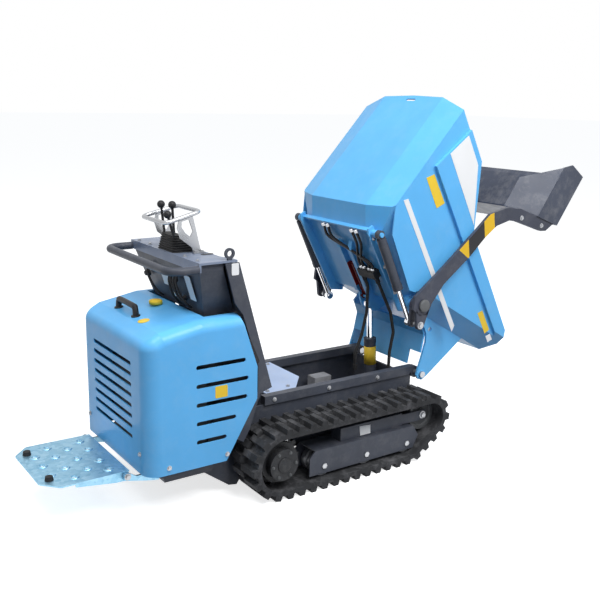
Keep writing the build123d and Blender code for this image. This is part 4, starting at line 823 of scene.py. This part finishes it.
# floor, light and camera; each lamp has its place, its size and its power, and looks at aim
studio = {"floorColour": (0.80, 0.80, 0.80), "bounceColour": (0.10, 0.11, 0.14), "glow": 0.72, "floorHalf": 60,
          "world": 0.34, "worldColour": (0.90, 0.95, 1.0), "white": (1.0, 1.0, 1.0), "aim": (0.0, 0.0, 0.6),
          "lamps": {"keyLamp": ((0.3, -3.3, 4.6), 2.6, 232.0), "fillLamp": ((3.2, -2.6, 2.6), 2.4, 18.0),
                    "topLamp": ((-2.3, -1.0, 5.2), 2.4, 124.0)}}


# Rays that see the studio's white side: the largest of Is Camera Ray, Is Glossy Ray and Is Transmission Ray.
def seenRays(tree):
    rays = addNode(tree, "ShaderNodeLightPath").outputs
    seen = mathNode(tree, "MAXIMUM", rays["Is Camera Ray"], rays["Is Glossy Ray"])
    return mathNode(tree, "MAXIMUM", seen, rays["Is Transmission Ray"])


# One shader of a kind in one colour.
def plainShader(tree, kind, colour):
    node = addNode(tree, kind)
    node.inputs["Color"].default_value = colour + (1.0,)
    return node


# Shows the second shader to the rays that see the white side, and the first to all others.
def splitSurface(tree, output, unseen, seen):
    out = addNode(tree, output)
    mix = addNode(tree, "ShaderNodeMixShader")
    tree.links.new(seenRays(tree), mix.inputs[0])
    tree.links.new(unseen.outputs[0], mix.inputs[1])
    tree.links.new(seen.outputs[0], mix.inputs[2])
    tree.links.new(mix.outputs[0], out.inputs["Surface"])


# The floor is lit plainly and also glows a little, so that it is as pale as the background; to all other rays it
# is dark, so that it throws little light up under the machine.
def buildFloor():
    mesh = bpy.data.meshes.new("floor")
    half = studio["floorHalf"]
    mesh.from_pydata([(-half, -half, 0), (half, -half, 0), (half, half, 0), (-half, half, 0)], [], [(0, 1, 2, 3)])
    floor = bpy.data.objects.new("floor", mesh)
    bpy.context.scene.collection.objects.link(floor)
    material, tree, _ = nodeTree("floorPaint")
    tree.nodes.clear()
    glow = addNode(tree, "ShaderNodeEmission")
    glow.inputs["Strength"].default_value = studio["glow"]
    pale = addNode(tree, "ShaderNodeAddShader")
    tree.links.new(plainShader(tree, "ShaderNodeBsdfDiffuse", studio["floorColour"]).outputs[0], pale.inputs[0])
    tree.links.new(glow.outputs[0], pale.inputs[1])
    bounce = plainShader(tree, "ShaderNodeBsdfDiffuse", studio["bounceColour"])
    splitSurface(tree, "ShaderNodeOutputMaterial", bounce, pale)
    floor.data.materials.append(material)


# The world is white to the rays that see it, and a weak bluish light to all others.
def buildWorld():
    world = bpy.data.worlds.new("studio")
    bpy.context.scene.world = world
    world.use_nodes = True
    tree = world.node_tree
    tree.nodes.clear()
    plain = plainShader(tree, "ShaderNodeBackground", studio["worldColour"])
    plain.inputs["Strength"].default_value = studio["world"]
    white = plainShader(tree, "ShaderNodeBackground", studio["white"])
    splitSurface(tree, "ShaderNodeOutputWorld", plain, white)


# Square lamps, each turned to look at the aim point.
def buildLamps():
    for name, (spot, size, power) in studio["lamps"].items():
        light = bpy.data.lights.new(name, "AREA")
        light.energy = power
        light.size = size
        lamp = bpy.data.objects.new(name, light)
        lamp.location = spot
        aim = np.array(studio["aim"]) - np.array(spot)
        lamp.rotation_euler = Vector(aim).to_track_quat("-Z", "Y").to_euler()
        bpy.context.scene.collection.objects.link(lamp)


buildFloor()
buildWorld()
buildLamps()

viewPoint = {"at": (-2.080, -2.907, 1.528), "right": (0.8252, -0.5645, 0.0197), "up": (0.1157, 0.2031, 0.9724),
             "lens": 51.06, "sensor": 36.0}


# The camera stands at its point, its axes squared up from the given right and up.
def buildCamera():
    camera = bpy.data.cameras.new("camera")
    camera.lens = viewPoint["lens"]
    camera.sensor_width = viewPoint["sensor"]
    cameraObject = bpy.data.objects.new("camera", camera)
    bpy.context.scene.collection.objects.link(cameraObject)
    right = Vector(viewPoint["right"]).normalized()
    up = Vector(viewPoint["up"])
    back = right.cross(up).normalized()
    up = back.cross(right).normalized()
    turnRows = Matrix((right, up, back)).transposed().to_4x4()
    turnRows.translation = Vector(viewPoint["at"])
    cameraObject.matrix_world = turnRows
    bpy.context.scene.camera = cameraObject
    bpy.context.scene.view_settings.view_transform = "Standard"


buildCamera()
print("stage: studio and camera")
